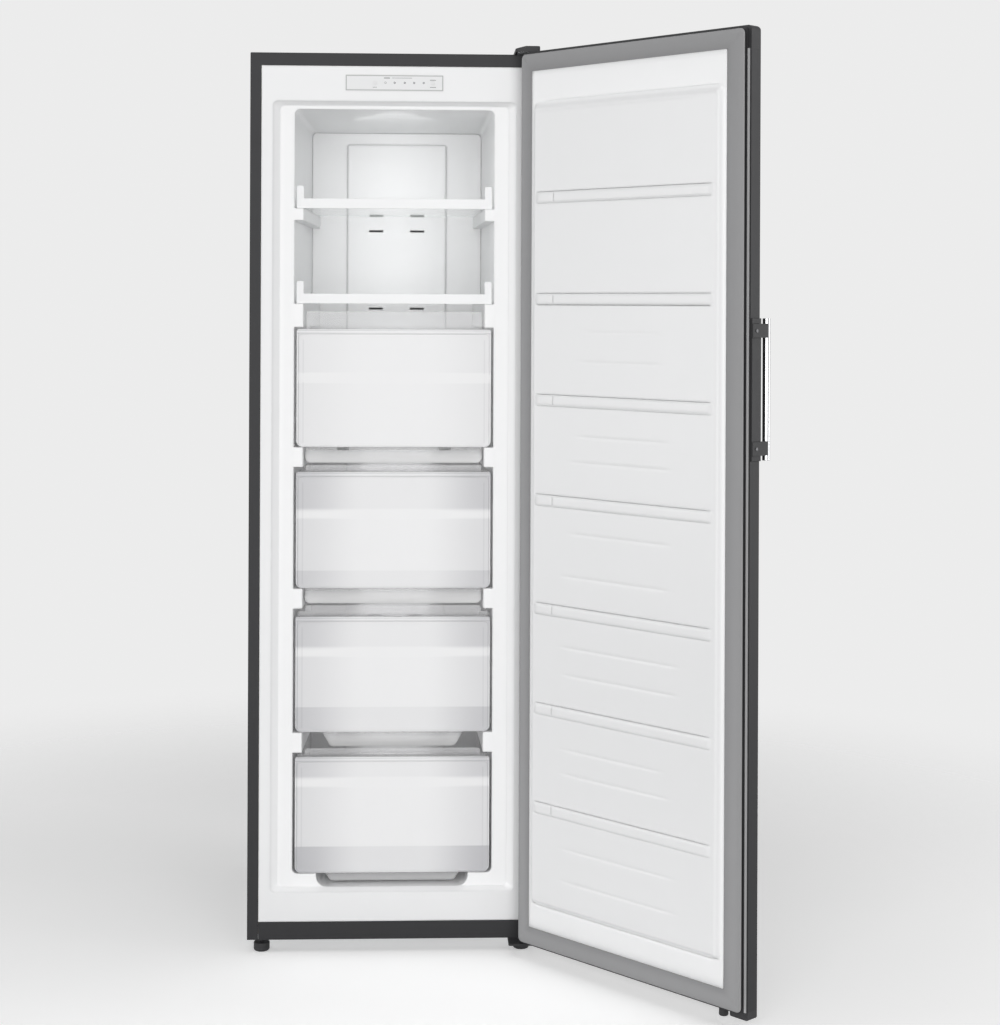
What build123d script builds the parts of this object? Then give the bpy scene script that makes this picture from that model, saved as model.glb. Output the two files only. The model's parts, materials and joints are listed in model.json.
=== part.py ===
from build123d import *
import os

os.makedirs("parts", exist_ok=True)

# An upright freezer: a foamed steel cabinet with a white liner, one side-hinged door, two glass
# shelves and four drawers. Millimetres, +Z up, +Y to the rear, +X to the right seen from the front.
# The origin is at the centre of the cabinet's underside. The door is modelled shut and then swung
# open about its hinge pins, as it stands in the rest position.

# ---- Cabinet ----
FOOT_HEIGHT = 27.0
STEEL = 1.0
LINER = 2.0
CLEAR = 0.3
RUNNING_CLEAR = 0.1
FOLD_RADIUS = 2.0

# Widths from the middle outwards: the opening, the recess round it, the white face, the dark border
OPENING_HALF = 206.5
RECESS_SIDE = 30.5
RECESS_SLOPE = 14.0
FACE_SIDE = 23.5
BORDER_SIDE = 23.0

RECESS_HALF = OPENING_HALF + RECESS_SIDE
RECESS_EDGE_HALF = RECESS_HALF + RECESS_SLOPE
HALF = RECESS_EDGE_HALF + FACE_SIDE + BORDER_SIDE
WIDTH = 2 * HALF
INSIDE_HALF = HALF - STEEL - CLEAR

# Depths from the front backwards: the recess, the tapered storage space, the foamed rear wall
RECESS_DEPTH = 15.0
SPACE_DEPTH = 490.0
REAR_WALL = 95.0
SIDE_TAPER = 0.0337
CEILING_TAPER = 0.0313

DEPTH = RECESS_DEPTH + SPACE_DEPTH + REAR_WALL
FRONT = -DEPTH / 2
REAR = DEPTH / 2
RECESS_Y = FRONT + RECESS_DEPTH
SPACE_REAR = RECESS_Y + SPACE_DEPTH

# Heights from the underside up: border, white face, recess, four drawers, two shelves, and so on up
BORDER_BOTTOM = 36.7
FACE_BOTTOM = 59.8
SLOPE_BOTTOM = 7.5
LEDGE_RISE = 27.0
DRAWER_SPACES = (291.6, 298.0, 292.8)
TOP_DRAWER_SPACE = 297.4
SHELF_SPACE = 197.3
TOP_SHELF_SPACE = 204.9
RECESS_OVER = 8.0
SLOPE_TOP = 8.0
FACE_TOP = 72.5
BORDER_TOP = 26.5

RECESS_EDGE_BOTTOM = BORDER_BOTTOM + FACE_BOTTOM
RECESS_BOTTOM = RECESS_EDGE_BOTTOM + SLOPE_BOTTOM
LEDGE_TOP = RECESS_BOTTOM + LEDGE_RISE
DRAWER_RAIL_TOPS = [LEDGE_TOP + sum(DRAWER_SPACES[:count]) for count in (1, 2, 3)]
LOW_SHELF_TOP = DRAWER_RAIL_TOPS[-1] + TOP_DRAWER_SPACE
HIGH_SHELF_TOP = LOW_SHELF_TOP + SHELF_SPACE
OPENING_TOP = HIGH_SHELF_TOP + TOP_SHELF_SPACE
RECESS_TOP = OPENING_TOP + RECESS_OVER
RECESS_EDGE_TOP = RECESS_TOP + SLOPE_TOP
BODY_HEIGHT = RECESS_EDGE_TOP + FACE_TOP + BORDER_TOP
INSIDE_TOP = BODY_HEIGHT - STEEL - CLEAR

RECESS_RADIUS = 10.0
OPENING_RADIUS = 11.0
FRONT_RAIL_DEPTH = 36.0
TROUGH_INSET = 49.5
TROUGH_RADIUS = 22.0
TROUGH_HALF = OPENING_HALF - TROUGH_INSET

# Rails along the side walls: the drawers and shelves stand on their tops
RAIL_WIDTH = 19.0
DRAWER_RAIL_HEIGHT = 41.0
LOW_SHELF_RAIL = 48.8
HIGH_SHELF_RAIL = 25.1
SHELF_RAILS = (
    (LOW_SHELF_TOP - LOW_SHELF_RAIL, LOW_SHELF_TOP),
    (HIGH_SHELF_TOP - HIGH_SHELF_RAIL, HIGH_SHELF_TOP),
)

# Compressor bay under a step in the liner
BAY_DEPTH = 152.0
BAY_HEIGHT = 234.0
STEP_TOP = 290.0
STEP_FOAM = 46.0
BAY_Y = REAR - BAY_DEPTH
STEP_Y = BAY_Y - STEP_FOAM

# Duct cover in front of the evaporator
CHAMBER_DEPTH = 75.0
COVER_WALL = 2.5
DUCT_HALF = 112.0
DUCT_DEPTH = 12.0
DUCT_TOP_GAP = 40.0
SLOT_LENGTH = 31.0
SLOT_HEIGHT = 4.0
SLOT_OFFSET = 46.5
HIGH_SLOTS = (2.9, -32.1)
LOW_SHELF_SLOT = -10.8
DRAWER_SLOT_RISE = 180.0
COVER_Y = SPACE_REAR - CHAMBER_DEPTH
DUCT_TOP = OPENING_TOP - DUCT_TOP_GAP

# ---- Shelves ----
GLASS = 4.0
GLASS_SIDE_GAP = 3.0
GLASS_RADIUS = 5.0
TRIM_SIDE_GAP = 4.5
TRIM_HEIGHT = 20.5
TRIM_WALL = 4.0
TRIM_LIP = 18.0
TRIM_LIP_WALL = 3.0
TRIM_RADIUS = 3.0
EAR_WIDTH = 14.5
EAR_HEIGHT = 26.0
FRONT_SETBACK = 5.0
STORAGE_GAP = 8.0
TRIM_HALF = OPENING_HALF - TRIM_SIDE_GAP
SHELF_FRONT = RECESS_Y + FRONT_SETBACK

# ---- Drawers ----
DRAWER_SIDE_GAP = 5.0
DRAWER_REAR_GAP = 6.0
FRONT_WALL = 3.8
FRONT_RIM = 4.0
FACE_RECESS = 1.0
FACE_RADIUS = 13.0
FACE_TOP_RADIUS = 4.0
LIP_HEIGHT = 8.0
LIP_DEPTH = 9.0
POCKET_DEPTH = 20.0
POCKET_DROP = 46.0
BASKET_WALL = 2.0
BASKET_INSET = 7.5
BASKET_RADIUS = 8.0
RIM_INSET = 23.5
RIM_ROOT = 20.0
RIM_RADIUS = 5.0
RIM_GAP = 4.4
TOP_RIM_GAP = 16.1
SIDE_TOP_GAP = 10.0
KEEL_DROP = 34.5
LOW_KEEL_GAP = 4.0
KEEL_OVERLAP = 12.0
KEEL_RADIUS = 12.0
KEEL_SLOT_LENGTH = 25.0
KEEL_SLOT_HEIGHT = 6.0
KEEL_SLOT_OFFSET = 106.0
KEEL_SLOT_DROP = 5.0
DRAWER_FRONT_Y = RECESS_Y + FRONT_SETBACK
DRAWER_HALF = OPENING_HALF - DRAWER_SIDE_GAP
RIM_HALF = OPENING_HALF - RIM_INSET
BASKET_Y = DRAWER_FRONT_Y + FRONT_WALL + POCKET_DEPTH
DRAWER_REAR = COVER_Y - DUCT_DEPTH - DRAWER_REAR_GAP
LOW_DRAWER_REAR = STEP_Y - DRAWER_REAR_GAP

# from the bottom up: gap above the face, keel's inset from the walls at its top and at its bottom
DRAWERS = (
    (10.6, 52.0, 78.0),
    (18.0, 48.5, 76.5),
    (10.5, 20.5, 21.5),
    (4.0, 20.5, 21.5),
)

# ---- Door, shut ----
DOOR_BOTTOM = 2.0
DOOR_TOP_GAP = 0.5
DOOR_TOP = BODY_HEIGHT - DOOR_TOP_GAP
GASKET_GAP = 1.5
GASKET_THICK = 12.5
GASKET_SIDE_INSET = 7.8
GASKET_TOP_INSET = 6.5
GASKET_BOTTOM_INSET = 7.7
GASKET_BAND = 38.7
GASKET_END_BAND = 36.7
GASKET_RADIUS = 2.0
SKIN_DEPTH = 29.5
DOOR_CORNER = 3.5
TOP_CAP_HEIGHT = 43.5
TOP_CAP_CORNER = 8.0
TOP_CAP_ROOF = 9.0
BOTTOM_CAP_HEIGHT = 7.0
BOTTOM_CAP_RADIUS = 3.0
CAP_WALL = 2.5
TOE_LENGTH = 42.0
TOE_DROP = 8.0
SKIN_RETURN = 12.0

GASKET_OUTER_HALF = HALF - GASKET_SIDE_INSET
GASKET_INNER_HALF = GASKET_OUTER_HALF - GASKET_BAND
GASKET_TOP = DOOR_TOP - GASKET_TOP_INSET
GASKET_BOTTOM = DOOR_BOTTOM + GASKET_BOTTOM_INSET
GASKET_INNER_TOP = GASKET_TOP - GASKET_END_BAND
GASKET_INNER_BOTTOM = GASKET_BOTTOM + GASKET_END_BAND
GASKET_Y = FRONT - GASKET_GAP
SEAT_Y = GASKET_Y - GASKET_THICK
SKIN_BACK = SEAT_Y - LINER
DOOR_FRONT = SKIN_BACK - SKIN_DEPTH

# The door's inner panel: its raised middle reaches into the cabinet's recess when the door is shut
PANEL_SIDE_GAP = 2.0
PANEL_END_GAP = 0.6
PANEL_STEP = 1.5
PLATEAU_HEIGHT = 11.5
PLATEAU_SIDE_GAP = 13.0
PLATEAU_FOOT_GAP = 3.5
PLATEAU_RISE = 4.0
PLATEAU_HEAD_GAP = 9.0
PLATEAU_DROP = 16.0
PLATEAU_RADIUS = 10.0
RIB_RISES = (188.4, 200.2, 201.7, 218.7, 201.3, 203.4, 204.6)
RIB_TALL = 22.0
RIB_PROUD = 2.5
RIB_TAPER = 20.0
RIB_FREE_INSET = 10.0
RIB_HINGE_INSET = 6.0

PANEL_Y = GASKET_Y - PANEL_STEP
PLATEAU_Y = PANEL_Y + PLATEAU_HEIGHT
PANEL_HALF = GASKET_INNER_HALF - PANEL_SIDE_GAP
PANEL_BOTTOM = GASKET_INNER_BOTTOM + PANEL_END_GAP
PANEL_TOP = GASKET_INNER_TOP - PANEL_END_GAP
PLATEAU_HALF = RECESS_EDGE_HALF - PLATEAU_SIDE_GAP
PLATEAU_BASE_BOTTOM = RECESS_EDGE_BOTTOM - PLATEAU_FOOT_GAP
PLATEAU_BOTTOM = RECESS_BOTTOM + PLATEAU_RISE
PLATEAU_BASE_TOP = RECESS_EDGE_TOP - PLATEAU_HEAD_GAP
PLATEAU_TOP = RECESS_TOP - PLATEAU_DROP
RIB_LEFT = RIB_FREE_INSET - PLATEAU_HALF
RIB_RIGHT = PLATEAU_HALF - RIB_HINGE_INSET

# ---- Hinges ----
HINGE_INSET = 14.0
HINGE_REACH = 32.0
DOOR_ANGLE = 132.0
PIN_RADIUS = 4.0
PIN_REACH = 22.0
PIN_COLLAR = 4.0
BUSH_WALL = 3.0
BUSH_BOSS = 3.0
BUSH_BED = 2.0
UPPER_PLATE = 3.0
LOWER_PLATE = 4.0
PLATE_WIDTH = 43.0
LOWER_PLATE_WIDTH = 55.0
PLATE_EDGE_GAP = 2.5
PLATE_OVERLAP = 86.0
PLATE_NOSE = 9.0
PLATE_RADIUS = 5.0
LOWER_PLATE_GAP = 1.0
COVER_WIDTH = 50.5
COVER_OVERLAP = 92.0
COVER_NOSE = 14.0
COVER_HEIGHT = 12.5
COVER_LIP = 6.5
COVER_SLOPE = 22.0
COVER_CORNER = 5.0
COVER_EDGE = 2.4
SCREW_RADIUS = 2.2
SCREW_HEAD = 4.5
SCREW_LENGTH = 12.0
# inwards from the cabinet's side and backwards from its front
HINGE_SCREWS = ((29.5, 26.0), (13.5, 48.0), (29.5, 70.0))

HINGE_X = HALF - HINGE_INSET
HINGE_Y = FRONT - HINGE_REACH
BUSH_RADIUS = PIN_RADIUS + BUSH_WALL
SCREW_PLACES = [(HALF - inwards, FRONT + back) for inwards, back in HINGE_SCREWS]

# ---- Handle on the door's free edge ----
HANDLE_BOTTOM = 1023.0
HANDLE_LENGTH = 264.0
BAR_RADIUS = 7.3
BAR_EDGE = 1.0
BAR_STANDOFF = 20.5
BAR_INSET = 2.0
GRIP_WALL = 3.0
GRIP_BACK = 28.0
GRIP_SETBACK = 1.5
GRIP_EDGE = 1.0
BRACKET_HEIGHT = 26.0
BRACKET_WALL = 5.0
BRACKET_END = 10.0
HANDLE_SCREW_BACK = 17.0
HANDLE_SCREW_RADIUS = 1.8
HANDLE_SCREW_LENGTH = 12.0
HANDLE_SCREW_HEAD = 3.2
HANDLE_SCREW_CROWN = 1.4
HANDLE_TOP = HANDLE_BOTTOM + HANDLE_LENGTH
BAR_X = -HALF + BAR_INSET
BAR_Y = DOOR_FRONT - BAR_STANDOFF

# ---- Feet, rollers and the door's stop ----
FOOT_INSET = 29.0
FOOT_BACK = 20.5
FOOT_RADIUS = 16.5
FOOT_DISC = 18.0
FOOT_EDGE = 5.0
FOOT_TOP_EDGE = 1.5
STUD_RADIUS = 4.0
STUD_REACH = 16.0
STUD_ROOT = 2.0
ROLLER_RADIUS = 12.0
ROLLER_WIDTH = 18.0
ROLLER_EDGE = 1.5
ROLLER_PLAY = 0.5
ROLLER_INSET = 39.5
ROLLER_FORWARD = 32.0
AXLE_RADIUS = 3.0
CHEEK = 2.0
CHEEK_LENGTH = 26.0
CHEEK_DROP = 6.0
STOP_INSET = 69.5
STOP_RADIUS = 9.0
STOP_DROP = 18.0
STOP_EDGE = 3.0
FOOT_X = HALF - FOOT_INSET
FOOT_Y = FRONT + FOOT_BACK
ROLLER_X = HALF - ROLLER_INSET
ROLLER_Y = REAR - ROLLER_FORWARD
STOP_X = -HALF + STOP_INSET

# ---- Control panel ----
PANEL_LEFT = -103.0
PANEL_RIGHT = 101.0
FASCIA_RISE = 20.5
FASCIA_HEIGHT = 35.0
FASCIA_CORNER = 4.0
FASCIA_PROUD = 0.8
FASCIA_WALL = 1.5
FASCIA_SEAT = 5.0
FASCIA_DEPTH = 18.0
BUTTON_RADIUS = 3.4
BUTTON_X = (-41.7, 78.0)
BUTTON_TRAVEL = 1.0
BUTTON_FLANGE = 1.0
BUTTON_FLANGE_REACH = 1.5
SWITCH_SIDE = 6.0
SWITCH_HEIGHT = 4.0
BOARD = 1.6
CHIP_LENGTH = 30.0
CHIP_SIDE = 10.0
CHIP_HEIGHT = 4.0
FASCIA_BOTTOM = RECESS_EDGE_TOP + FASCIA_RISE
FASCIA_TOP = FASCIA_BOTTOM + FASCIA_HEIGHT

# ---- Cooling ----
TUBE_RADIUS = 2.5
CONDENSER_INSET = 47.5
CONDENSER_RUNS = 11
CONDENSER_RISE = 66.0
CONDENSER_TOP_GAP = 48.0
CONDENSER_SPACE = 6.0
FIN_COUNT = 24
FIN_HALF = 160.0
FIN_THICK = 1.0
FIN_GAP = 4.0
COIL_BOTTOM = 560.0
COIL_HEIGHT = 240.0
COIL_RUNS = 8
COIL_REACH = 8.0
COIL_TUBE_RADIUS = 4.0
HEATER_RADIUS = 3.5
HEATER_CLIP = 8.0
FUNNEL_GAP = 40.0
FUNNEL_DROP = 34.0
FAN_Z = 1000.0
FAN_RADIUS = 52.0
FAN_BLADES = 5
BLADE_TILT = 35.0
BLADE_WALL = 1.6
BLADE_WIDTH = 18.0
BLADE_ROOT = 4.0
HUB_RADIUS = 13.0
ROTOR_GAP = 5.0
ROTOR_DEPTH = 16.0
MOTOR_RADIUS = 24.0
MOTOR_LENGTH = 30.0
MOTOR_ARM = 4.0
MOTOR_ARM_REACH = 27.0
MOTOR_ARM_WIDTH = 12.0
SHAFT_RADIUS = 2.5
HOSE_RADIUS = 9.0
HOSE_WALL = 2.0
HOSE_END_DROP = 6.0
CONDENSER_HALF = HALF - CONDENSER_INSET
CONDENSER_BOTTOM = BAY_HEIGHT + CONDENSER_RISE
CONDENSER_TOP = BODY_HEIGHT - CONDENSER_TOP_GAP
COIL_TOP = COIL_BOTTOM + COIL_HEIGHT
COVER_HALF = OPENING_HALF - SIDE_TAPER * (COVER_Y + COVER_WALL - RECESS_Y) - CLEAR
CHAMBER_MIDDLE = (COVER_Y + COVER_WALL + SPACE_REAR) / 2
HOSE_Y = CHAMBER_MIDDLE

# ---- Compressor bay ----
TRAY_WALL = 2.0
TRAY_RISE = 32.0
BAY_SLOT_LENGTH = 28.0
BAY_SLOT_HEIGHT = 6.0
BAY_SLOT_GAP = 12.0
BAY_SLOT_PITCH = 30.0
COMPRESSOR_X = 40.0
COMPRESSOR_RADIUS = 62.0
COMPRESSOR_LONG_RADIUS = 76.0
COMPRESSOR_HEIGHT = 140.0
COMPRESSOR_CROWN = 30.0
FOOT_PLATE = 3.0
FOOT_PLATE_MARGIN = 13.0
FOOT_PLATE_RADIUS = 10.0
MOUNT_HEIGHT = 12.0
MOUNT_RADIUS = 11.0
MOUNT_EDGE = 2.0
MOUNT_OUT = 2.0
MOUNT_IN = 12.0
RELAY_LENGTH = 36.0
RELAY_WIDTH = 44.0
RELAY_HEIGHT = 54.0
RELAY_RISE = 48.0
RELAY_EDGE = 4.0
DRIP_TRAY_GAP = 22.0
DRIP_TRAY_DEEP = 22.0
DRIP_TRAY_HALF = 85.0
DRIP_TRAY_SHIFT = -15.0
DRIP_TRAY_CORNER = 12.0
DRIP_TRAY_REAR_GAP = 14.0
DRIP_LEG_OFFSET = 50.0
DRIP_LEG_RADIUS = 7.0
DRIP_LEG_SINK = 24.0
DRIER_X = 200.0
DRIER_FORWARD = 20.0
DRIER_RADIUS = 11.0
DRIER_RISE = 20.0
DRIER_LENGTH = 130.0
DRIER_SHOULDER = 5.0
DRIER_PIPE_RADIUS = 3.5
GLAND_X = -170.0
GLAND_Z = 20.0
GLAND_RADIUS = 9.0
GLAND_BORE = 4.0
GLAND_PROUD = 4.0
DRIP_TRAY_TOP = BAY_HEIGHT - DRIP_TRAY_GAP
TRAY_FRONT = BAY_Y + STEEL + CLEAR
COMPRESSOR_Y = BAY_Y + BAY_DEPTH / 2


def across(y):
    """A vertical plane across the cabinet at depth y, drawn as seen from the front."""
    return Plane.XZ.offset(-y)


def plan(z):
    """A level plane at height z."""
    return Plane.XY.offset(z)


def span(a, b):
    """The two limits in rising order."""
    return (min(a, b), max(a, b))


def block(x, y, z, mode=Mode.ADD):
    """A block between three pairs of limits."""
    with Locations(((x[0] + x[1]) / 2, (y[0] + y[1]) / 2, (z[0] + z[1]) / 2)):
        Box(x[1] - x[0], y[1] - y[0], z[1] - z[0], mode=mode)


def post(x, y, z, radius, mode=Mode.ADD):
    """An upright round bar or hole between two heights."""
    with Locations((x, y, (z[0] + z[1]) / 2)):
        Cylinder(radius, z[1] - z[0], mode=mode)


def bar_along_y(x, y, z, radius, mode=Mode.ADD):
    """A round bar or hole that runs front to back between two depths."""
    with Locations((x, (y[0] + y[1]) / 2, z)):
        Cylinder(radius, y[1] - y[0], rotation=(90, 0, 0), mode=mode)


def bar_along_x(x, y, z, radius, mode=Mode.ADD):
    """A round bar or hole that runs from side to side between two limits."""
    with Locations(((x[0] + x[1]) / 2, y, z)):
        Cylinder(radius, x[1] - x[0], rotation=(0, 90, 0), mode=mode)


def window(y, half_width, bottom, top, radius):
    """A rounded rectangle across the cabinet at depth y."""
    with BuildSketch(across(y)) as outline:
        with Locations((0, (bottom + top) / 2)):
            RectangleRounded(2 * half_width, top - bottom, radius)
    return outline.sketch


def wall_half(y):
    """Half the width between the liner's side walls at depth y."""
    return OPENING_HALF - SIDE_TAPER * (y - RECESS_Y)


def ceiling(y):
    """The height of the liner's ceiling at depth y."""
    return OPENING_TOP - CEILING_TAPER * (y - RECESS_Y)


def cabinet_space(grow):
    """The open white inside of the cabinet as a solid, grown outwards on every wall."""
    with BuildPart() as space:
        loft([
            window(FRONT, RECESS_EDGE_HALF + grow, RECESS_EDGE_BOTTOM - grow,
                   RECESS_EDGE_TOP + grow, RECESS_RADIUS + grow),
            window(RECESS_Y + grow, RECESS_HALF + grow, RECESS_BOTTOM - grow, RECESS_TOP + grow,
                   RECESS_RADIUS + grow),
        ])
        loft([
            window(RECESS_Y, OPENING_HALF + grow, LEDGE_TOP - grow, OPENING_TOP + grow,
                   OPENING_RADIUS + grow),
            window(SPACE_REAR + grow, wall_half(SPACE_REAR) + grow, LEDGE_TOP - grow,
                   ceiling(SPACE_REAR) + grow, OPENING_RADIUS + grow),
        ])
        with BuildSketch(across(RECESS_Y)):
            with Locations((0, (RECESS_BOTTOM + LEDGE_TOP + OPENING_RADIUS) / 2)):
                Rectangle(2 * (TROUGH_HALF + grow),
                          LEDGE_TOP + OPENING_RADIUS - RECESS_BOTTOM + 2 * grow)
            fillet(vertices().group_by(Axis.Y)[0], TROUGH_RADIUS + grow)
        extrude(amount=-(STEP_Y + grow - RECESS_Y))
        block((-HALF, HALF), (STEP_Y + grow, 2 * REAR), (0, STEP_TOP - grow), Mode.SUBTRACT)
    return space.part


def rail(side, bottom, top, rear):
    """A support rail that follows the side wall's taper, with its front end in the recess plane."""
    with BuildSketch(plan(bottom)) as outline:
        with BuildLine():
            Polyline(
                (side * (wall_half(RECESS_Y) + LINER / 2), RECESS_Y),
                (side * (wall_half(rear) + LINER / 2), rear),
                (side * (wall_half(rear) - RAIL_WIDTH), rear),
                (side * (wall_half(RECESS_Y) - RAIL_WIDTH), RECESS_Y),
                close=True,
            )
        make_face()
    extrude(outline.sketch, amount=top - bottom)


# ---- Cabinet shell and carcass ----

with BuildPart() as outer_shell:
    with BuildSketch(across(FRONT)):
        with Locations((0, BODY_HEIGHT / 2)):
            Rectangle(WIDTH, BODY_HEIGHT)
        fillet(vertices().group_by(Axis.Y)[-1], FOLD_RADIUS)
    extrude(amount=-DEPTH)
    front_edges = faces().sort_by(Axis.Y)[0].edges().group_by(Axis.Z)[1:]
    fillet([edge for group in front_edges for edge in group], FOLD_RADIUS - 0.2)
    block((-HALF + STEEL, HALF - STEEL), (FRONT + STEEL, REAR + STEEL),
          (-STEEL, BODY_HEIGHT - STEEL), Mode.SUBTRACT)
    block((-HALF + BORDER_SIDE, HALF - BORDER_SIDE), (FRONT - STEEL, FRONT + 2 * STEEL),
          (-STEEL, BODY_HEIGHT - BORDER_TOP), Mode.SUBTRACT)
    for x, y in SCREW_PLACES:
        post(x, y, (BODY_HEIGHT - 2 * STEEL, BODY_HEIGHT + STEEL), SCREW_RADIUS + CLEAR, Mode.SUBTRACT)
outer_shell.part.label = "outer_shell"
export_step(outer_shell.part, "parts/outer_shell.step")

RAIL_HALF = HALF - BORDER_SIDE - CLEAR
with BuildPart() as front_rail:
    block((-RAIL_HALF, RAIL_HALF), (FRONT, FRONT + FRONT_RAIL_DEPTH), (0, BORDER_BOTTOM))
    block((-HALF, HALF), (FRONT + STEEL, FRONT + FRONT_RAIL_DEPTH + STEEL),
          (STEEL, BORDER_BOTTOM - STEEL), Mode.SUBTRACT)
    for side in (-1, 1):
        post(side * FOOT_X, FOOT_Y, (-STEEL, 2 * STEEL), STUD_RADIUS + RUNNING_CLEAR, Mode.SUBTRACT)
front_rail.part.label = "front_rail"
export_step(front_rail.part, "parts/front_rail.step")

BASE_FRONT = FRONT + FRONT_RAIL_DEPTH + CLEAR
with BuildPart() as base_plate:
    block((-INSIDE_HALF, INSIDE_HALF), (BASE_FRONT, BAY_Y + STEEL), (0, STEEL))
    block((-INSIDE_HALF, INSIDE_HALF), (BAY_Y, BAY_Y + STEEL), (0, BAY_HEIGHT))
    block((-INSIDE_HALF, INSIDE_HALF), (BAY_Y, REAR - STEEL - CLEAR),
          (BAY_HEIGHT - STEEL, BAY_HEIGHT))
    post(0, HOSE_Y, (BAY_HEIGHT - 2 * STEEL, BAY_HEIGHT + STEEL), HOSE_RADIUS + CLEAR, Mode.SUBTRACT)
base_plate.part.label = "base_plate"
export_step(base_plate.part, "parts/base_plate.step")

with BuildPart() as rear_panel:
    block((-INSIDE_HALF, INSIDE_HALF), (REAR - STEEL, REAR), (BAY_HEIGHT - STEEL, INSIDE_TOP))
rear_panel.part.label = "rear_panel"
export_step(rear_panel.part, "parts/rear_panel.step")

with BuildPart() as compressor_tray:
    block((-INSIDE_HALF, INSIDE_HALF), (TRAY_FRONT, REAR), (0, TRAY_WALL))
    block((-INSIDE_HALF, INSIDE_HALF), (REAR - TRAY_WALL, REAR), (0, TRAY_RISE))
    for side in (-1, 1):
        block(span(side * INSIDE_HALF, side * (INSIDE_HALF - TRAY_WALL)), (TRAY_FRONT, REAR),
              (0, TRAY_RISE))
    bar_along_y(GLAND_X, (REAR - 2 * TRAY_WALL, REAR + TRAY_WALL), GLAND_Z, GLAND_BORE, Mode.SUBTRACT)
compressor_tray.part.label = "compressor_tray"
export_step(compressor_tray.part, "parts/compressor_tray.step")

with BuildPart() as bay_cover:
    block((-INSIDE_HALF, INSIDE_HALF), (REAR - STEEL, REAR),
          (TRAY_RISE + CLEAR, BAY_HEIGHT - STEEL - CLEAR))
    with Locations(Location((0, REAR, (TRAY_RISE + BAY_HEIGHT) / 2), (90, 0, 0))):
        with GridLocations(BAY_SLOT_LENGTH + BAY_SLOT_GAP, BAY_SLOT_PITCH, 13, 5):
            Box(BAY_SLOT_LENGTH, BAY_SLOT_HEIGHT, 4 * STEEL, mode=Mode.SUBTRACT)
bay_cover.part.label = "bay_cover"
export_step(bay_cover.part, "parts/bay_cover.step")

foam_space = cabinet_space(LINER + CLEAR)
liner_outside = cabinet_space(LINER)
liner_inside = cabinet_space(0.0)

FOAM_REAR = REAR - STEEL - CONDENSER_SPACE
FLANGE_HALF = HALF - BORDER_SIDE - CLEAR
FLANGE_TOP = BODY_HEIGHT - BORDER_TOP - CLEAR
FLANGE_BOTTOM = BORDER_BOTTOM + CLEAR
with BuildPart() as cabinet_foam:
    block((-INSIDE_HALF, INSIDE_HALF), (FRONT + STEEL + CLEAR, FOAM_REAR), (STEEL + CLEAR, INSIDE_TOP))
    block((-FLANGE_HALF - CLEAR, FLANGE_HALF + CLEAR), (FRONT, FRONT + LINER + CLEAR),
          (0, FLANGE_TOP + CLEAR), Mode.SUBTRACT)
    block((-HALF, HALF), (FRONT, BASE_FRONT), (0, BORDER_BOTTOM + CLEAR), Mode.SUBTRACT)
    block((-HALF, HALF), (BAY_Y - CLEAR, REAR), (0, BAY_HEIGHT + CLEAR), Mode.SUBTRACT)
    block((PANEL_LEFT, PANEL_RIGHT), (FRONT, FRONT + FASCIA_DEPTH + 2 * LINER),
          (FASCIA_BOTTOM, FASCIA_TOP), Mode.SUBTRACT)
    add(foam_space, mode=Mode.SUBTRACT)
    post(0, HOSE_Y, (BAY_HEIGHT - LINER, STEP_TOP), HOSE_RADIUS + CLEAR, Mode.SUBTRACT)
    for x, y in SCREW_PLACES:
        post(x, y, (BODY_HEIGHT - SCREW_LENGTH - CLEAR, BODY_HEIGHT), SCREW_RADIUS + CLEAR,
             Mode.SUBTRACT)
cabinet_foam.part.label = "cabinet_foam"
export_step(cabinet_foam.part, "parts/cabinet_foam.step")

with BuildPart() as inner_liner:
    block((-FLANGE_HALF, FLANGE_HALF), (FRONT, FRONT + LINER), (FLANGE_BOTTOM, FLANGE_TOP))
    add(liner_outside)
    add(liner_inside, mode=Mode.SUBTRACT)
    for side in (-1, 1):
        for top in DRAWER_RAIL_TOPS:
            rail(side, top - DRAWER_RAIL_HEIGHT, top, COVER_Y - CLEAR)
        for bottom, top in SHELF_RAILS:
            rail(side, bottom, top, COVER_Y - CLEAR)
    block((PANEL_LEFT + FASCIA_SEAT, PANEL_RIGHT - FASCIA_SEAT), (FRONT - LINER, FRONT + 2 * LINER),
          (FASCIA_BOTTOM + FASCIA_SEAT, FASCIA_TOP - FASCIA_SEAT), Mode.SUBTRACT)
    post(0, HOSE_Y, (STEP_TOP - 2 * LINER, STEP_TOP + LINER), HOSE_RADIUS + CLEAR, Mode.SUBTRACT)
inner_liner.part.label = "inner_liner"
export_step(inner_liner.part, "parts/inner_liner.step")

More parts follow.
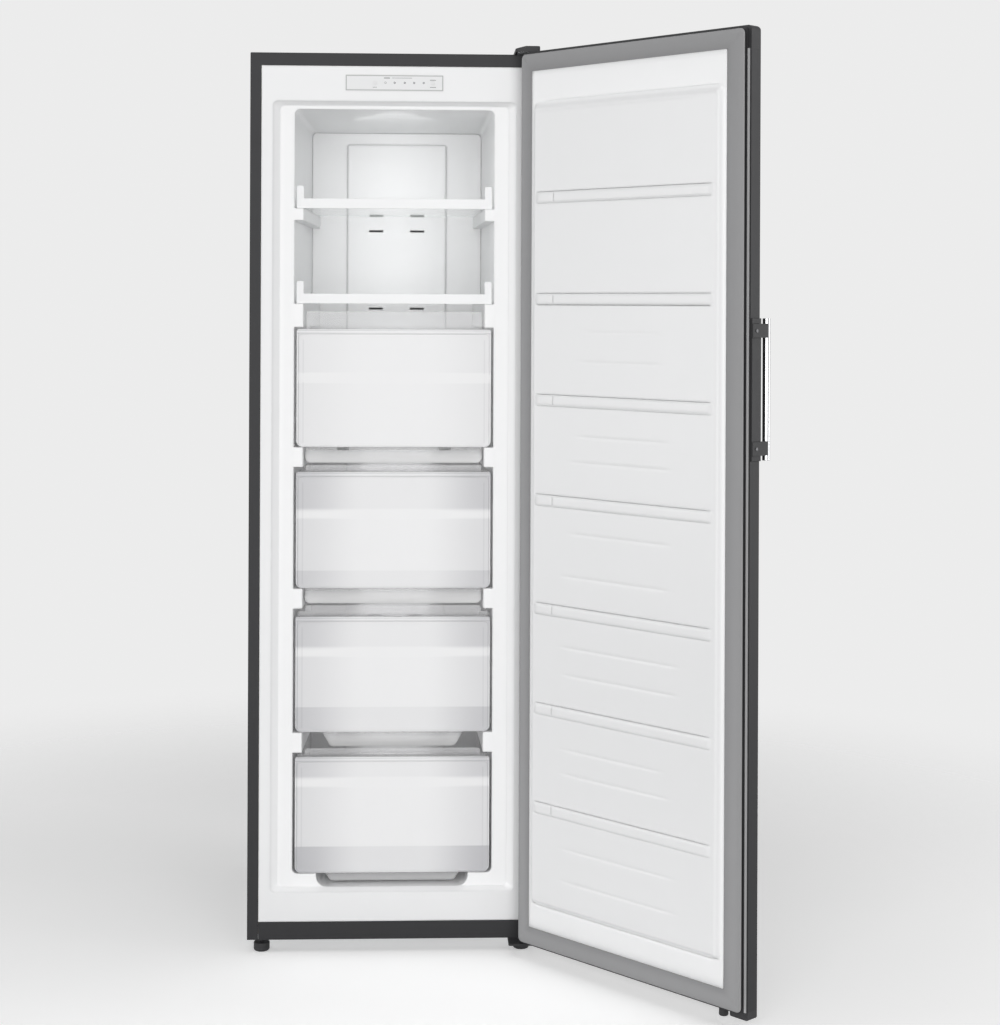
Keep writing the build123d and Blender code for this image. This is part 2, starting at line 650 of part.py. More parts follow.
slot_heights = [HIGH_SHELF_TOP + rise for rise in HIGH_SLOTS]
slot_heights.append(LOW_SHELF_TOP + LOW_SHELF_SLOT)
slot_heights += [top + DRAWER_SLOT_RISE for top in [LEDGE_TOP] + DRAWER_RAIL_TOPS]
with BuildPart() as evaporator_cover:
    block((-COVER_HALF, COVER_HALF), (COVER_Y, COVER_Y + COVER_WALL),
          (STEP_TOP + CLEAR, ceiling(COVER_Y + COVER_WALL) - CLEAR))
    fillet(edges().filter_by(Axis.Y).group_by(Axis.Z)[-1], OPENING_RADIUS)
    with BuildSketch(across(COVER_Y)):
        with Locations((0, (STEP_TOP + CLEAR + DUCT_TOP) / 2)):
            Rectangle(2 * DUCT_HALF, DUCT_TOP - STEP_TOP - CLEAR)
    extrude(amount=DUCT_DEPTH)
    fillet(faces().sort_by(Axis.Y)[0].edges().group_by(Axis.Z)[-1], DUCT_DEPTH / 3)
    fillet(faces().sort_by(Axis.Y)[0].edges().filter_by(Axis.Z), DUCT_DEPTH / 3)
    block((-DUCT_HALF + COVER_WALL, DUCT_HALF - COVER_WALL),
          (COVER_Y - DUCT_DEPTH + COVER_WALL, COVER_Y + 2 * COVER_WALL),
          (STEP_TOP, DUCT_TOP - COVER_WALL), Mode.SUBTRACT)
    for height in slot_heights:
        for side in (-1, 1):
            with Locations((side * SLOT_OFFSET, COVER_Y - DUCT_DEPTH, height)):
                Box(SLOT_LENGTH, 4 * COVER_WALL, SLOT_HEIGHT, mode=Mode.SUBTRACT)
evaporator_cover.part.label = "evaporator_cover"
export_step(evaporator_cover.part, "parts/evaporator_cover.step")

# ---- Control panel ----

PLUG_LEFT = PANEL_LEFT + FASCIA_SEAT + CLEAR
PLUG_RIGHT = PANEL_RIGHT - FASCIA_SEAT - CLEAR
PLUG_BOTTOM = FASCIA_BOTTOM + FASCIA_SEAT + CLEAR
PLUG_TOP = FASCIA_TOP - FASCIA_SEAT - CLEAR
FASCIA_Y = FRONT - FASCIA_PROUD
FASCIA_MIDDLE = (FASCIA_BOTTOM + FASCIA_TOP) / 2
with BuildPart() as control_panel:
    with BuildSketch(across(FRONT)):
        with Locations(((PANEL_LEFT + PANEL_RIGHT) / 2, FASCIA_MIDDLE)):
            RectangleRounded(PANEL_RIGHT - PANEL_LEFT, FASCIA_HEIGHT, FASCIA_CORNER)
    extrude(amount=FASCIA_PROUD)
    block((PLUG_LEFT, PLUG_RIGHT), (FRONT, FRONT + FASCIA_DEPTH), (PLUG_BOTTOM, PLUG_TOP))
    block((PLUG_LEFT + LINER, PLUG_RIGHT - LINER), (FASCIA_Y + FASCIA_WALL, FRONT + 2 * FASCIA_DEPTH),
          (PLUG_BOTTOM + LINER, PLUG_TOP - LINER), Mode.SUBTRACT)
    for x in BUTTON_X:
        bar_along_y(x, (FASCIA_Y - 1, FRONT + LINER), FASCIA_MIDDLE, BUTTON_RADIUS + CLEAR,
                    Mode.SUBTRACT)
control_panel.part.label = "control_panel"
export_step(control_panel.part, "parts/control_panel.step")

BUTTON_FLANGE_Y = FASCIA_Y + FASCIA_WALL + CLEAR
SWITCH_Y = BUTTON_FLANGE_Y + BUTTON_FLANGE + BUTTON_TRAVEL + CLEAR
BOARD_Y = SWITCH_Y + SWITCH_HEIGHT
for name, x in zip(("button_power", "button_mode"), BUTTON_X):
    with BuildPart() as button:
        bar_along_y(x, (FASCIA_Y - BUTTON_FLANGE / 2, BUTTON_FLANGE_Y + BUTTON_FLANGE), FASCIA_MIDDLE,
                    BUTTON_RADIUS)
        bar_along_y(x, (BUTTON_FLANGE_Y, BUTTON_FLANGE_Y + BUTTON_FLANGE), FASCIA_MIDDLE,
                    BUTTON_RADIUS + BUTTON_FLANGE_REACH)
    button.part.label = name
    export_step(button.part, f"parts/{name}.step")

with BuildPart() as control_board:
    block((PLUG_LEFT + LINER + CLEAR, PLUG_RIGHT - LINER - CLEAR), (BOARD_Y, BOARD_Y + BOARD),
          (PLUG_BOTTOM + LINER + CLEAR, PLUG_TOP - LINER - CLEAR))
    for x in BUTTON_X:
        with Locations((x, (SWITCH_Y + BOARD_Y) / 2, FASCIA_MIDDLE)):
            Box(SWITCH_SIDE, SWITCH_HEIGHT, SWITCH_SIDE)
    with Locations(((PANEL_LEFT + PANEL_RIGHT) / 2, BOARD_Y + BOARD + CHIP_HEIGHT / 2, FASCIA_MIDDLE)):
        Box(CHIP_LENGTH, CHIP_HEIGHT, CHIP_SIDE)
control_board.part.label = "control_board"
export_step(control_board.part, "parts/control_board.step")

# ---- Cooling ----

with BuildPart() as condenser:
    pitch = 2 * CONDENSER_HALF / (CONDENSER_RUNS - 1)
    bend = pitch / 2
    condenser_y = REAR - STEEL - CONDENSER_SPACE / 2
    with BuildLine(across(condenser_y)) as condenser_path:
        for run in range(CONDENSER_RUNS):
            x = -CONDENSER_HALF + run * pitch
            Line((x, CONDENSER_BOTTOM), (x, CONDENSER_TOP))
            if run < CONDENSER_RUNS - 1:
                end, bulge = (CONDENSER_TOP, bend) if run % 2 == 0 else (CONDENSER_BOTTOM, -bend)
                ThreePointArc((x, end), (x + bend, end + bulge), (x + pitch, end))
    with BuildSketch(Plane((-CONDENSER_HALF, condenser_y, CONDENSER_BOTTOM), z_dir=(0, 0, 1))):
        Circle(TUBE_RADIUS)
    sweep(path=condenser_path.wire())
condenser.part.label = "condenser"
export_step(condenser.part, "parts/condenser.step")

with BuildPart() as evaporator:
    fin_step = 2 * FIN_HALF / (FIN_COUNT - 1)
    for fin in range(FIN_COUNT):
        x = -FIN_HALF + fin * fin_step
        block((x - FIN_THICK / 2, x + FIN_THICK / 2), (COVER_Y + COVER_WALL + FIN_GAP, SPACE_REAR - CLEAR),
              (COIL_BOTTOM, COIL_TOP))
    coil_pitch = COIL_HEIGHT / COIL_RUNS
    coil_end = FIN_HALF + COIL_REACH
    for run in range(COIL_RUNS):
        z = COIL_BOTTOM + (run + 0.5) * coil_pitch
        bar_along_x((-coil_end, coil_end), CHAMBER_MIDDLE, z, COIL_TUBE_RADIUS)
        if run < COIL_RUNS - 1:
            end = coil_end if run % 2 == 0 else -coil_end
            with BuildSketch(Plane((end, CHAMBER_MIDDLE, z), x_dir=(0, 1, 0), z_dir=(1, 0, 0))):
                Circle(COIL_TUBE_RADIUS)
            revolve(axis=Axis((end, 0, z + coil_pitch / 2), (0, 1 if run % 2 else -1, 0)),
                    revolution_arc=180)
evaporator.part.label = "evaporator"
export_step(evaporator.part, "parts/evaporator.step")

HEATER_Z = COIL_BOTTOM - HEATER_RADIUS - CLEAR
with BuildPart() as defrost_heater:
    bar_along_x((-FIN_HALF, FIN_HALF), CHAMBER_MIDDLE, HEATER_Z, HEATER_RADIUS)
    for side in (-1, 1):
        block(span(side * FIN_HALF, side * (FIN_HALF + HEATER_CLIP)),
              (CHAMBER_MIDDLE - HEATER_CLIP, SPACE_REAR - CLEAR),
              (HEATER_Z - HEATER_CLIP, HEATER_Z + HEATER_RADIUS))
defrost_heater.part.label = "defrost_heater"
export_step(defrost_heater.part, "parts/defrost_heater.step")

FUNNEL_TOP = COIL_BOTTOM - FUNNEL_GAP
FUNNEL_FRONT = COVER_Y + COVER_WALL + CLEAR
FUNNEL_REAR = SPACE_REAR - CLEAR
with BuildPart() as drain_funnel:
    with BuildSketch(across(FUNNEL_FRONT)):
        with BuildLine():
            Polyline((-FIN_HALF, FUNNEL_TOP), (FIN_HALF, FUNNEL_TOP),
                     (2 * HOSE_RADIUS, FUNNEL_TOP - FUNNEL_DROP),
                     (-2 * HOSE_RADIUS, FUNNEL_TOP - FUNNEL_DROP), close=True)
        make_face()
    extrude(amount=-(FUNNEL_REAR - FUNNEL_FRONT))
    with BuildSketch(across(FUNNEL_FRONT + LINER)):
        with BuildLine():
            Polyline((-FIN_HALF + 4 * LINER, FUNNEL_TOP + 1), (FIN_HALF - 4 * LINER, FUNNEL_TOP + 1),
                     (2 * HOSE_RADIUS, FUNNEL_TOP - FUNNEL_DROP + LINER),
                     (-2 * HOSE_RADIUS, FUNNEL_TOP - FUNNEL_DROP + LINER), close=True)
        make_face()
    extrude(amount=-(FUNNEL_REAR - FUNNEL_FRONT - 2 * LINER), mode=Mode.SUBTRACT)
    post(0, HOSE_Y, (FUNNEL_TOP - 2 * FUNNEL_DROP, FUNNEL_TOP), HOSE_RADIUS - HOSE_WALL, Mode.SUBTRACT)
drain_funnel.part.label = "drain_funnel"
export_step(drain_funnel.part, "parts/drain_funnel.step")

with BuildPart() as drain_hose:
    post(0, HOSE_Y, (DRIP_TRAY_TOP - HOSE_END_DROP, FUNNEL_TOP - FUNNEL_DROP - CLEAR), HOSE_RADIUS)
    post(0, HOSE_Y, (0, FUNNEL_TOP), HOSE_RADIUS - HOSE_WALL, Mode.SUBTRACT)
drain_hose.part.label = "drain_hose"
export_step(drain_hose.part, "parts/drain_hose.step")

MOTOR_Y = SPACE_REAR - CLEAR - MOTOR_LENGTH
ROTOR_Y = MOTOR_Y - ROTOR_GAP
with BuildPart() as fan_motor:
    bar_along_y(0, (MOTOR_Y, SPACE_REAR - CLEAR), FAN_Z, MOTOR_RADIUS)
    bar_along_y(0, (ROTOR_Y - ROTOR_DEPTH, MOTOR_Y), FAN_Z, SHAFT_RADIUS)
    for turn in (45, 135):
        with Locations(Location((0, SPACE_REAR - CLEAR - MOTOR_ARM / 2, FAN_Z), (0, turn, 0))):
            Box(2 * (MOTOR_RADIUS + MOTOR_ARM_REACH), MOTOR_ARM, MOTOR_ARM_WIDTH)
fan_motor.part.label = "fan_motor"
export_step(fan_motor.part, "parts/fan_motor.step")

BLADE_START = HUB_RADIUS - BLADE_ROOT
with BuildPart() as fan_blade:
    for blade in range(FAN_BLADES):
        turn = Location((0, ROTOR_Y - ROTOR_DEPTH / 2, FAN_Z), (0, 360 * blade / FAN_BLADES, 0))
        with Locations(turn):
            with Locations(((FAN_RADIUS + BLADE_START) / 2, 0, 0)):
                Box(FAN_RADIUS - BLADE_START, BLADE_WALL, BLADE_WIDTH, rotation=(BLADE_TILT, 0, 0))
    bar_along_y(0, (ROTOR_Y - ROTOR_DEPTH, ROTOR_Y), FAN_Z, HUB_RADIUS)
    bar_along_y(0, (ROTOR_Y - 2 * ROTOR_DEPTH, ROTOR_Y + 1), FAN_Z, SHAFT_RADIUS + RUNNING_CLEAR,
                Mode.SUBTRACT)
fan_blade.part.label = "fan_blade"
export_step(fan_blade.part, "parts/fan_blade.step")

MOUNT_X = COMPRESSOR_LONG_RADIUS + MOUNT_OUT
MOUNT_Y = COMPRESSOR_RADIUS - MOUNT_IN
COMPRESSOR_FOOT_Z = TRAY_WALL + MOUNT_HEIGHT
with BuildPart() as compressor_mounts:
    for x in (-MOUNT_X, MOUNT_X):
        for y in (-MOUNT_Y, MOUNT_Y):
            post(COMPRESSOR_X + x, COMPRESSOR_Y + y, (TRAY_WALL, COMPRESSOR_FOOT_Z), MOUNT_RADIUS)
    fillet(edges().filter_by(GeomType.CIRCLE).group_by(Axis.Z)[-1], MOUNT_EDGE)
compressor_mounts.part.label = "compressor_mounts"
export_step(compressor_mounts.part, "parts/compressor_mounts.step")

with BuildPart() as compressor:
    with Locations((COMPRESSOR_X, COMPRESSOR_Y, COMPRESSOR_FOOT_Z + FOOT_PLATE / 2)):
        Box(2 * (MOUNT_X + FOOT_PLATE_MARGIN), 2 * (MOUNT_Y + FOOT_PLATE_MARGIN), FOOT_PLATE)
    fillet(edges().filter_by(Axis.Z), FOOT_PLATE_RADIUS)
    with BuildSketch(plan(COMPRESSOR_FOOT_Z + FOOT_PLATE)):
        with Locations((COMPRESSOR_X, COMPRESSOR_Y)):
            Ellipse(COMPRESSOR_LONG_RADIUS, COMPRESSOR_RADIUS)
    extrude(amount=COMPRESSOR_HEIGHT)
    fillet(faces().sort_by(Axis.Z)[-1].edges(), COMPRESSOR_CROWN)
compressor.part.label = "compressor"
export_step(compressor.part, "parts/compressor.step")

RELAY_RIGHT = COMPRESSOR_X - COMPRESSOR_LONG_RADIUS - CLEAR
RELAY_BOTTOM = COMPRESSOR_FOOT_Z + RELAY_RISE
with BuildPart() as relay_box:
    block((RELAY_RIGHT - RELAY_LENGTH, RELAY_RIGHT),
          (COMPRESSOR_Y - RELAY_WIDTH / 2, COMPRESSOR_Y + RELAY_WIDTH / 2),
          (RELAY_BOTTOM, RELAY_BOTTOM + RELAY_HEIGHT))
    fillet(edges().filter_by(Axis.Z), RELAY_EDGE)
relay_box.part.label = "relay_box"
export_step(relay_box.part, "parts/relay_box.step")

DRIP_TRAY_X = COMPRESSOR_X + DRIP_TRAY_SHIFT
DRIP_TRAY_BOTTOM = DRIP_TRAY_TOP - DRIP_TRAY_DEEP
with BuildPart() as drip_tray:
    block((DRIP_TRAY_X - DRIP_TRAY_HALF, DRIP_TRAY_X + DRIP_TRAY_HALF),
          (TRAY_FRONT, REAR - DRIP_TRAY_REAR_GAP), (DRIP_TRAY_BOTTOM, DRIP_TRAY_TOP))
    fillet(edges().filter_by(Axis.Z), DRIP_TRAY_CORNER)
    offset(amount=-LINER, openings=faces().sort_by(Axis.Z)[-1])
    for x in (COMPRESSOR_X - DRIP_LEG_OFFSET, COMPRESSOR_X + DRIP_LEG_OFFSET):
        post(x, COMPRESSOR_Y, (COMPRESSOR_FOOT_Z + COMPRESSOR_HEIGHT - DRIP_LEG_SINK, DRIP_TRAY_BOTTOM),
             DRIP_LEG_RADIUS)
    add(compressor.part, mode=Mode.SUBTRACT)
drip_tray.part.label = "drip_tray"
export_step(drip_tray.part, "parts/drip_tray.step")

DRIER_Y = COMPRESSOR_Y - DRIER_FORWARD
DRIER_BOTTOM = TRAY_WALL + DRIER_RISE
with BuildPart() as filter_drier:
    post(DRIER_X, DRIER_Y, (DRIER_BOTTOM, DRIER_BOTTOM + DRIER_LENGTH), DRIER_RADIUS)
    fillet(edges().filter_by(GeomType.CIRCLE), DRIER_SHOULDER)
    post(DRIER_X, DRIER_Y, (TRAY_WALL, BAY_HEIGHT - STEEL - CLEAR), DRIER_PIPE_RADIUS)
filter_drier.part.label = "filter_drier"
export_step(filter_drier.part, "parts/filter_drier.step")

with BuildPart() as cord_gland:
    bar_along_y(GLAND_X, (REAR, REAR + GLAND_PROUD), GLAND_Z, GLAND_RADIUS)
    bar_along_y(GLAND_X, (REAR, REAR + GLAND_PROUD), GLAND_Z, GLAND_BORE, Mode.SUBTRACT)
cord_gland.part.label = "cord_gland"
export_step(cord_gland.part, "parts/cord_gland.step")

# ---- Feet and rollers ----

for name, side in (("foot_left", -1), ("foot_right", 1)):
    with BuildPart() as foot:
        post(side * FOOT_X, FOOT_Y, (-FOOT_HEIGHT, -FOOT_HEIGHT + FOOT_DISC), FOOT_RADIUS)
        fillet(edges().filter_by(GeomType.CIRCLE).group_by(Axis.Z)[0], FOOT_EDGE)
        fillet(edges().filter_by(GeomType.CIRCLE).group_by(Axis.Z)[-1], FOOT_TOP_EDGE)
        post(side * FOOT_X, FOOT_Y, (-FOOT_HEIGHT + FOOT_DISC - STUD_ROOT, STUD_REACH), STUD_RADIUS)
    foot.part.label = name
    export_step(foot.part, f"parts/{name}.step")

ROLLER_Z = -FOOT_HEIGHT + ROLLER_RADIUS
CHEEK_X = ROLLER_WIDTH / 2 + ROLLER_PLAY
with BuildPart() as roller_brackets:
    for side in (-1, 1):
        x = side * ROLLER_X
        for cheek in (-1, 1):
            block(span(x + cheek * CHEEK_X, x + cheek * (CHEEK_X + CHEEK)),
                  (ROLLER_Y - CHEEK_LENGTH / 2, ROLLER_Y + CHEEK_LENGTH / 2),
                  (ROLLER_Z - CHEEK_DROP, 0))
        bar_along_x((x - CHEEK_X - CHEEK, x + CHEEK_X + CHEEK), ROLLER_Y, ROLLER_Z, AXLE_RADIUS)
roller_brackets.part.label = "roller_brackets"
export_step(roller_brackets.part, "parts/roller_brackets.step")

for name, side in (("roller_left", -1), ("roller_right", 1)):
    x = side * ROLLER_X
    with BuildPart() as roller:
        bar_along_x((x - ROLLER_WIDTH / 2, x + ROLLER_WIDTH / 2), ROLLER_Y, ROLLER_Z, ROLLER_RADIUS)
        fillet(edges().filter_by(GeomType.CIRCLE), ROLLER_EDGE)
        bar_along_x((x - ROLLER_WIDTH, x + ROLLER_WIDTH), ROLLER_Y, ROLLER_Z,
                    AXLE_RADIUS + RUNNING_CLEAR, Mode.SUBTRACT)
    roller.part.label = name
    export_step(roller.part, f"parts/{name}.step")

# ---- Hinges on the cabinet ----

PLATE_RIGHT = HALF - PLATE_EDGE_GAP
PLATE_FRONT = HINGE_Y - PLATE_NOSE
PLATE_TOP = BODY_HEIGHT + UPPER_PLATE
with BuildPart() as upper_hinge:
    block((PLATE_RIGHT - PLATE_WIDTH, PLATE_RIGHT), (PLATE_FRONT, FRONT + PLATE_OVERLAP),
          (BODY_HEIGHT, PLATE_TOP))
    fillet(edges().filter_by(Axis.Z), PLATE_RADIUS)
    post(HINGE_X, HINGE_Y, (DOOR_TOP - PIN_REACH, PLATE_TOP), PIN_RADIUS)
    for x, y in SCREW_PLACES:
        post(x, y, (BODY_HEIGHT - 1, PLATE_TOP + 1), SCREW_RADIUS + CLEAR, Mode.SUBTRACT)
upper_hinge.part.label = "upper_hinge"
export_step(upper_hinge.part, "parts/upper_hinge.step")

with BuildPart() as lower_hinge:
    block((PLATE_RIGHT - LOWER_PLATE_WIDTH, PLATE_RIGHT),
          (PLATE_FRONT, FRONT + FRONT_RAIL_DEPTH - LOWER_PLATE_GAP), (-LOWER_PLATE, 0))
    fillet(edges().filter_by(Axis.Z), PLATE_RADIUS)
    post(HINGE_X, HINGE_Y, (-LOWER_PLATE, DOOR_BOTTOM + PIN_REACH), PIN_RADIUS)
    post(HINGE_X, HINGE_Y, (-CLEAR, DOOR_BOTTOM - CLEAR), PIN_RADIUS + PIN_COLLAR)
    post(FOOT_X, FOOT_Y, (-2 * LOWER_PLATE, LOWER_PLATE), STUD_RADIUS + RUNNING_CLEAR, Mode.SUBTRACT)
lower_hinge.part.label = "lower_hinge"
export_step(lower_hinge.part, "parts/lower_hinge.step")

with BuildPart() as hinge_screws:
    for x, y in SCREW_PLACES:
        post(x, y, (BODY_HEIGHT - SCREW_LENGTH, PLATE_TOP), SCREW_RADIUS)
        post(x, y, (PLATE_TOP, PLATE_TOP + SCREW_HEAD / 2), SCREW_HEAD)
hinge_screws.part.label = "hinge_screws"
export_step(hinge_screws.part, "parts/hinge_screws.step")

COVER_LEFT = HALF - COVER_WIDTH
COVER_TOP = BODY_HEIGHT + COVER_HEIGHT
with BuildPart() as hinge_cover:
    with BuildSketch(across(HINGE_Y - COVER_NOSE)):
        with BuildLine():
            Polyline((COVER_LEFT, BODY_HEIGHT), (HALF, BODY_HEIGHT), (HALF, COVER_TOP),
                     (COVER_LEFT + COVER_SLOPE, COVER_TOP), (COVER_LEFT, BODY_HEIGHT + COVER_LIP),
                     close=True)
        make_face()
    extrude(amount=-(FRONT + COVER_OVERLAP - HINGE_Y + COVER_NOSE))
    fillet(edges().filter_by(Axis.Z), COVER_CORNER)
    fillet(faces().sort_by(Axis.Z)[-1].edges(), COVER_EDGE)
    offset(amount=-LINER, openings=faces().sort_by(Axis.Z)[0])
hinge_cover.part.label = "hinge_cover"
export_step(hinge_cover.part, "parts/hinge_cover.step")

# ---- Shelves ----

for number, (rail_bottom, rail_top) in enumerate(reversed(SHELF_RAILS), start=1):
    glass_bottom = rail_top + CLEAR
    glass_rear = COVER_Y - DUCT_DEPTH - STORAGE_GAP
    with BuildPart() as shelf_glass:
        with BuildSketch(plan(glass_bottom)):
            with BuildLine():
                Polyline(
                    (-wall_half(SHELF_FRONT) + GLASS_SIDE_GAP, SHELF_FRONT + TRIM_WALL + CLEAR),
                    (wall_half(SHELF_FRONT) - GLASS_SIDE_GAP, SHELF_FRONT + TRIM_WALL + CLEAR),
                    (wall_half(glass_rear) - GLASS_SIDE_GAP, glass_rear),
                    (-wall_half(glass_rear) + GLASS_SIDE_GAP, glass_rear),
                    close=True,
                )
            make_face()
            fillet(vertices(), GLASS_RADIUS)
        extrude(amount=GLASS)
    shelf_glass.part.label = f"shelf_{number}_glass"
    export_step(shelf_glass.part, f"parts/shelf_{number}_glass.step")

    glass_top = glass_bottom + GLASS
    with BuildPart() as shelf_trim:
        block((-TRIM_HALF, TRIM_HALF), (SHELF_FRONT, SHELF_FRONT + TRIM_WALL),
              (glass_bottom, glass_bottom + TRIM_HEIGHT))
        for side in (-1, 1):
            block(span(side * TRIM_HALF, side * (TRIM_HALF - EAR_WIDTH)),
                  (SHELF_FRONT, SHELF_FRONT + TRIM_WALL),
                  (glass_bottom, glass_bottom + TRIM_HEIGHT + EAR_HEIGHT))
        fillet(edges().filter_by(Axis.Y).group_by(Axis.Z)[-1], TRIM_RADIUS)
        block((-TRIM_HALF, TRIM_HALF), (SHELF_FRONT + TRIM_WALL, SHELF_FRONT + TRIM_LIP),
              (glass_top, glass_top + TRIM_LIP_WALL))
    shelf_trim.part.label = f"shelf_{number}_trim"
    export_step(shelf_trim.part, f"parts/shelf_{number}_trim.step")


# ---- Drawers ----

def basket_section(y, inset_bottom, inset_top, bottom, top, radius):
    """A basket's cross-section at depth y: its sides stand the given insets in from the walls."""
    low = wall_half(y) - inset_bottom
    high = wall_half(y) - inset_top
    with BuildSketch(across(y)) as section:
        with BuildLine():
            Polyline((-low, bottom), (low, bottom), (high, top), (-high, top), close=True)
        make_face()
        fillet(vertices().group_by(Axis.Y)[0], radius)
    return section.sketch


def basket_form(shrink, open_rise, rail_top, side_top, keel_top, keel_bottom, keel_drop, rear):
    """A basket's body as a solid, drawn in by a wall's thickness for its inside."""
    seat = rail_top + CLEAR + shrink
    inset = BASKET_INSET + shrink
    ends = (BASKET_Y + shrink, rear - shrink)
    with BuildPart() as form:
        loft([basket_section(y, inset, inset, seat, side_top + open_rise, BASKET_RADIUS) for y in ends],
             ruled=True)
        loft([basket_section(y, keel_bottom + shrink, keel_top + shrink, seat - keel_drop,
                             seat + KEEL_OVERLAP, KEEL_RADIUS) for y in ends], ruled=True)
    return form.part


# for each drawer from the bottom up: what it stands on, what is above it, and the top of its rim
SEATS = [LEDGE_TOP] + DRAWER_RAIL_TOPS
SPACE_TOPS = [top - DRAWER_RAIL_HEIGHT for top in DRAWER_RAIL_TOPS] + [LOW_SHELF_TOP - LOW_SHELF_RAIL]
RIM_TOPS = [top + CLEAR - KEEL_DROP - RIM_GAP for top in DRAWER_RAIL_TOPS]
RIM_TOPS.append(LOW_SHELF_TOP + CLEAR - TOP_RIM_GAP)

for level, (face_gap, keel_top, keel_bottom) in enumerate(DRAWERS):
    number = len(DRAWERS) - level
    rail_top = SEATS[level]
    rim_top = RIM_TOPS[level]
    face_top = SPACE_TOPS[level] - face_gap
    side_top = SPACE_TOPS[level] - SIDE_TOP_GAP
    face_bottom = rail_top + 2 * CLEAR
    keel_drop = KEEL_DROP if level else LEDGE_RISE - LOW_KEEL_GAP
    rear = DRAWER_REAR if level else LOW_DRAWER_REAR

    basket_outside = basket_form(0.0, 0.0, rail_top, side_top, keel_top, keel_bottom, keel_drop, rear)
    basket_inside = basket_form(BASKET_WALL, 2 * SIDE_TOP_GAP, rail_top, side_top, keel_top,
                                keel_bottom, keel_drop, rear)

    with BuildPart() as basket:
        add(basket_outside)
        with BuildSketch(across(BASKET_Y)):
            with Locations((0, (side_top - RIM_ROOT + rim_top) / 2)):
                RectangleRounded(2 * RIM_HALF, rim_top - side_top + RIM_ROOT, RIM_RADIUS)
        extrude(amount=-BASKET_WALL)
        add(basket_inside, mode=Mode.SUBTRACT)
        if number == 1:
            for side in (-1, 1):
                with Locations((side * KEEL_SLOT_OFFSET, BASKET_Y, rail_top - KEEL_SLOT_DROP)):
                    Box(KEEL_SLOT_LENGTH, 4 * BASKET_WALL, KEEL_SLOT_HEIGHT, mode=Mode.SUBTRACT)
    basket.part.label = f"drawer_{number}_basket"
    export_step(basket.part, f"parts/drawer_{number}_basket.step")

    with BuildPart() as drawer_front:
        with BuildSketch(across(DRAWER_FRONT_Y)):
            with Locations((0, (face_bottom + face_top) / 2)):
                Rectangle(2 * DRAWER_HALF, face_top - face_bottom)
            fillet(vertices().group_by(Axis.Y)[0], FACE_RADIUS)
            fillet(vertices().group_by(Axis.Y)[-1], FACE_TOP_RADIUS)
        extrude(amount=-(FRONT_WALL + POCKET_DEPTH - CLEAR))
        block((-DRAWER_HALF + BASKET_WALL, DRAWER_HALF - BASKET_WALL),
              (DRAWER_FRONT_Y + FRONT_WALL, BASKET_Y), (face_top - POCKET_DROP, face_top + 1),
              Mode.SUBTRACT)
        block((-DRAWER_HALF + FACE_RADIUS, DRAWER_HALF - FACE_RADIUS),
              (DRAWER_FRONT_Y + FRONT_WALL, BASKET_Y),
              (face_bottom + FRONT_RIM, face_top - POCKET_DROP - BASKET_WALL), Mode.SUBTRACT)
        with BuildSketch(across(DRAWER_FRONT_Y)):
            with Locations((0, (face_bottom + face_top - LIP_HEIGHT) / 2)):
                RectangleRounded(2 * (DRAWER_HALF - FRONT_RIM),
                                 face_top - LIP_HEIGHT - face_bottom - FRONT_RIM,
                                 FACE_RADIUS - FRONT_RIM)
        extrude(amount=-FACE_RECESS, mode=Mode.SUBTRACT)
        lip_x = DRAWER_HALF - 2 * FRONT_RIM
        block((-lip_x, lip_x), (DRAWER_FRONT_Y + FRONT_WALL, DRAWER_FRONT_Y + LIP_DEPTH),
              (face_top - LIP_HEIGHT, face_top))
    drawer_front.part.label = f"drawer_{number}_front"
    export_step(drawer_front.part, f"parts/drawer_{number}_front.step")


# ---- Door ----

SWING = Location((HINGE_X, HINGE_Y, 0), (0, 0, DOOR_ANGLE)) * Location((-HINGE_X, -HINGE_Y, 0))


def swung(piece):
    """A piece of the shut door, turned to where the open door stands."""
    return piece.moved(SWING)


def door_outline(inset):
    """The door's plan behind its front: square at the back, rounded at the two front edges."""
    with Locations((0, (DOOR_FRONT + SKIN_BACK) / 2)):
        Rectangle(WIDTH - 2 * inset, SKIN_DEPTH - 2 * inset)
    fillet(vertices().group_by(Axis.Y)[0], DOOR_CORNER - inset)


SKIN_BOTTOM = DOOR_BOTTOM + BOTTOM_CAP_HEIGHT
SKIN_TOP = DOOR_TOP - TOP_CAP_HEIGHT
HANDLE_MIDDLES = (HANDLE_BOTTOM + BRACKET_END + BRACKET_HEIGHT / 2,
                  HANDLE_TOP - BRACKET_END - BRACKET_HEIGHT / 2)
HANDLE_SCREW_Y = DOOR_FRONT + HANDLE_SCREW_BACK

with BuildPart() as door_skin:
    with BuildSketch(plan(SKIN_BOTTOM)):
        door_outline(0)
    extrude(amount=SKIN_TOP - SKIN_BOTTOM)
    with BuildSketch(plan(SKIN_BOTTOM)):
        door_outline(STEEL)
    extrude(amount=SKIN_TOP - SKIN_BOTTOM, mode=Mode.SUBTRACT)
    block((-HALF + SKIN_RETURN, HALF - SKIN_RETURN), (SKIN_BACK - 2 * STEEL, SKIN_BACK + STEEL),
          (DOOR_BOTTOM, DOOR_TOP), Mode.SUBTRACT)
    for z in HANDLE_MIDDLES:
        bar_along_x((-HALF - 1, -HALF + 2 * STEEL), HANDLE_SCREW_Y, z, HANDLE_SCREW_RADIUS + CLEAR,
                    Mode.SUBTRACT)
door_skin.part = swung(door_skin.part)
door_skin.part.label = "door_skin"
export_step(door_skin.part, "parts/door_skin.step")

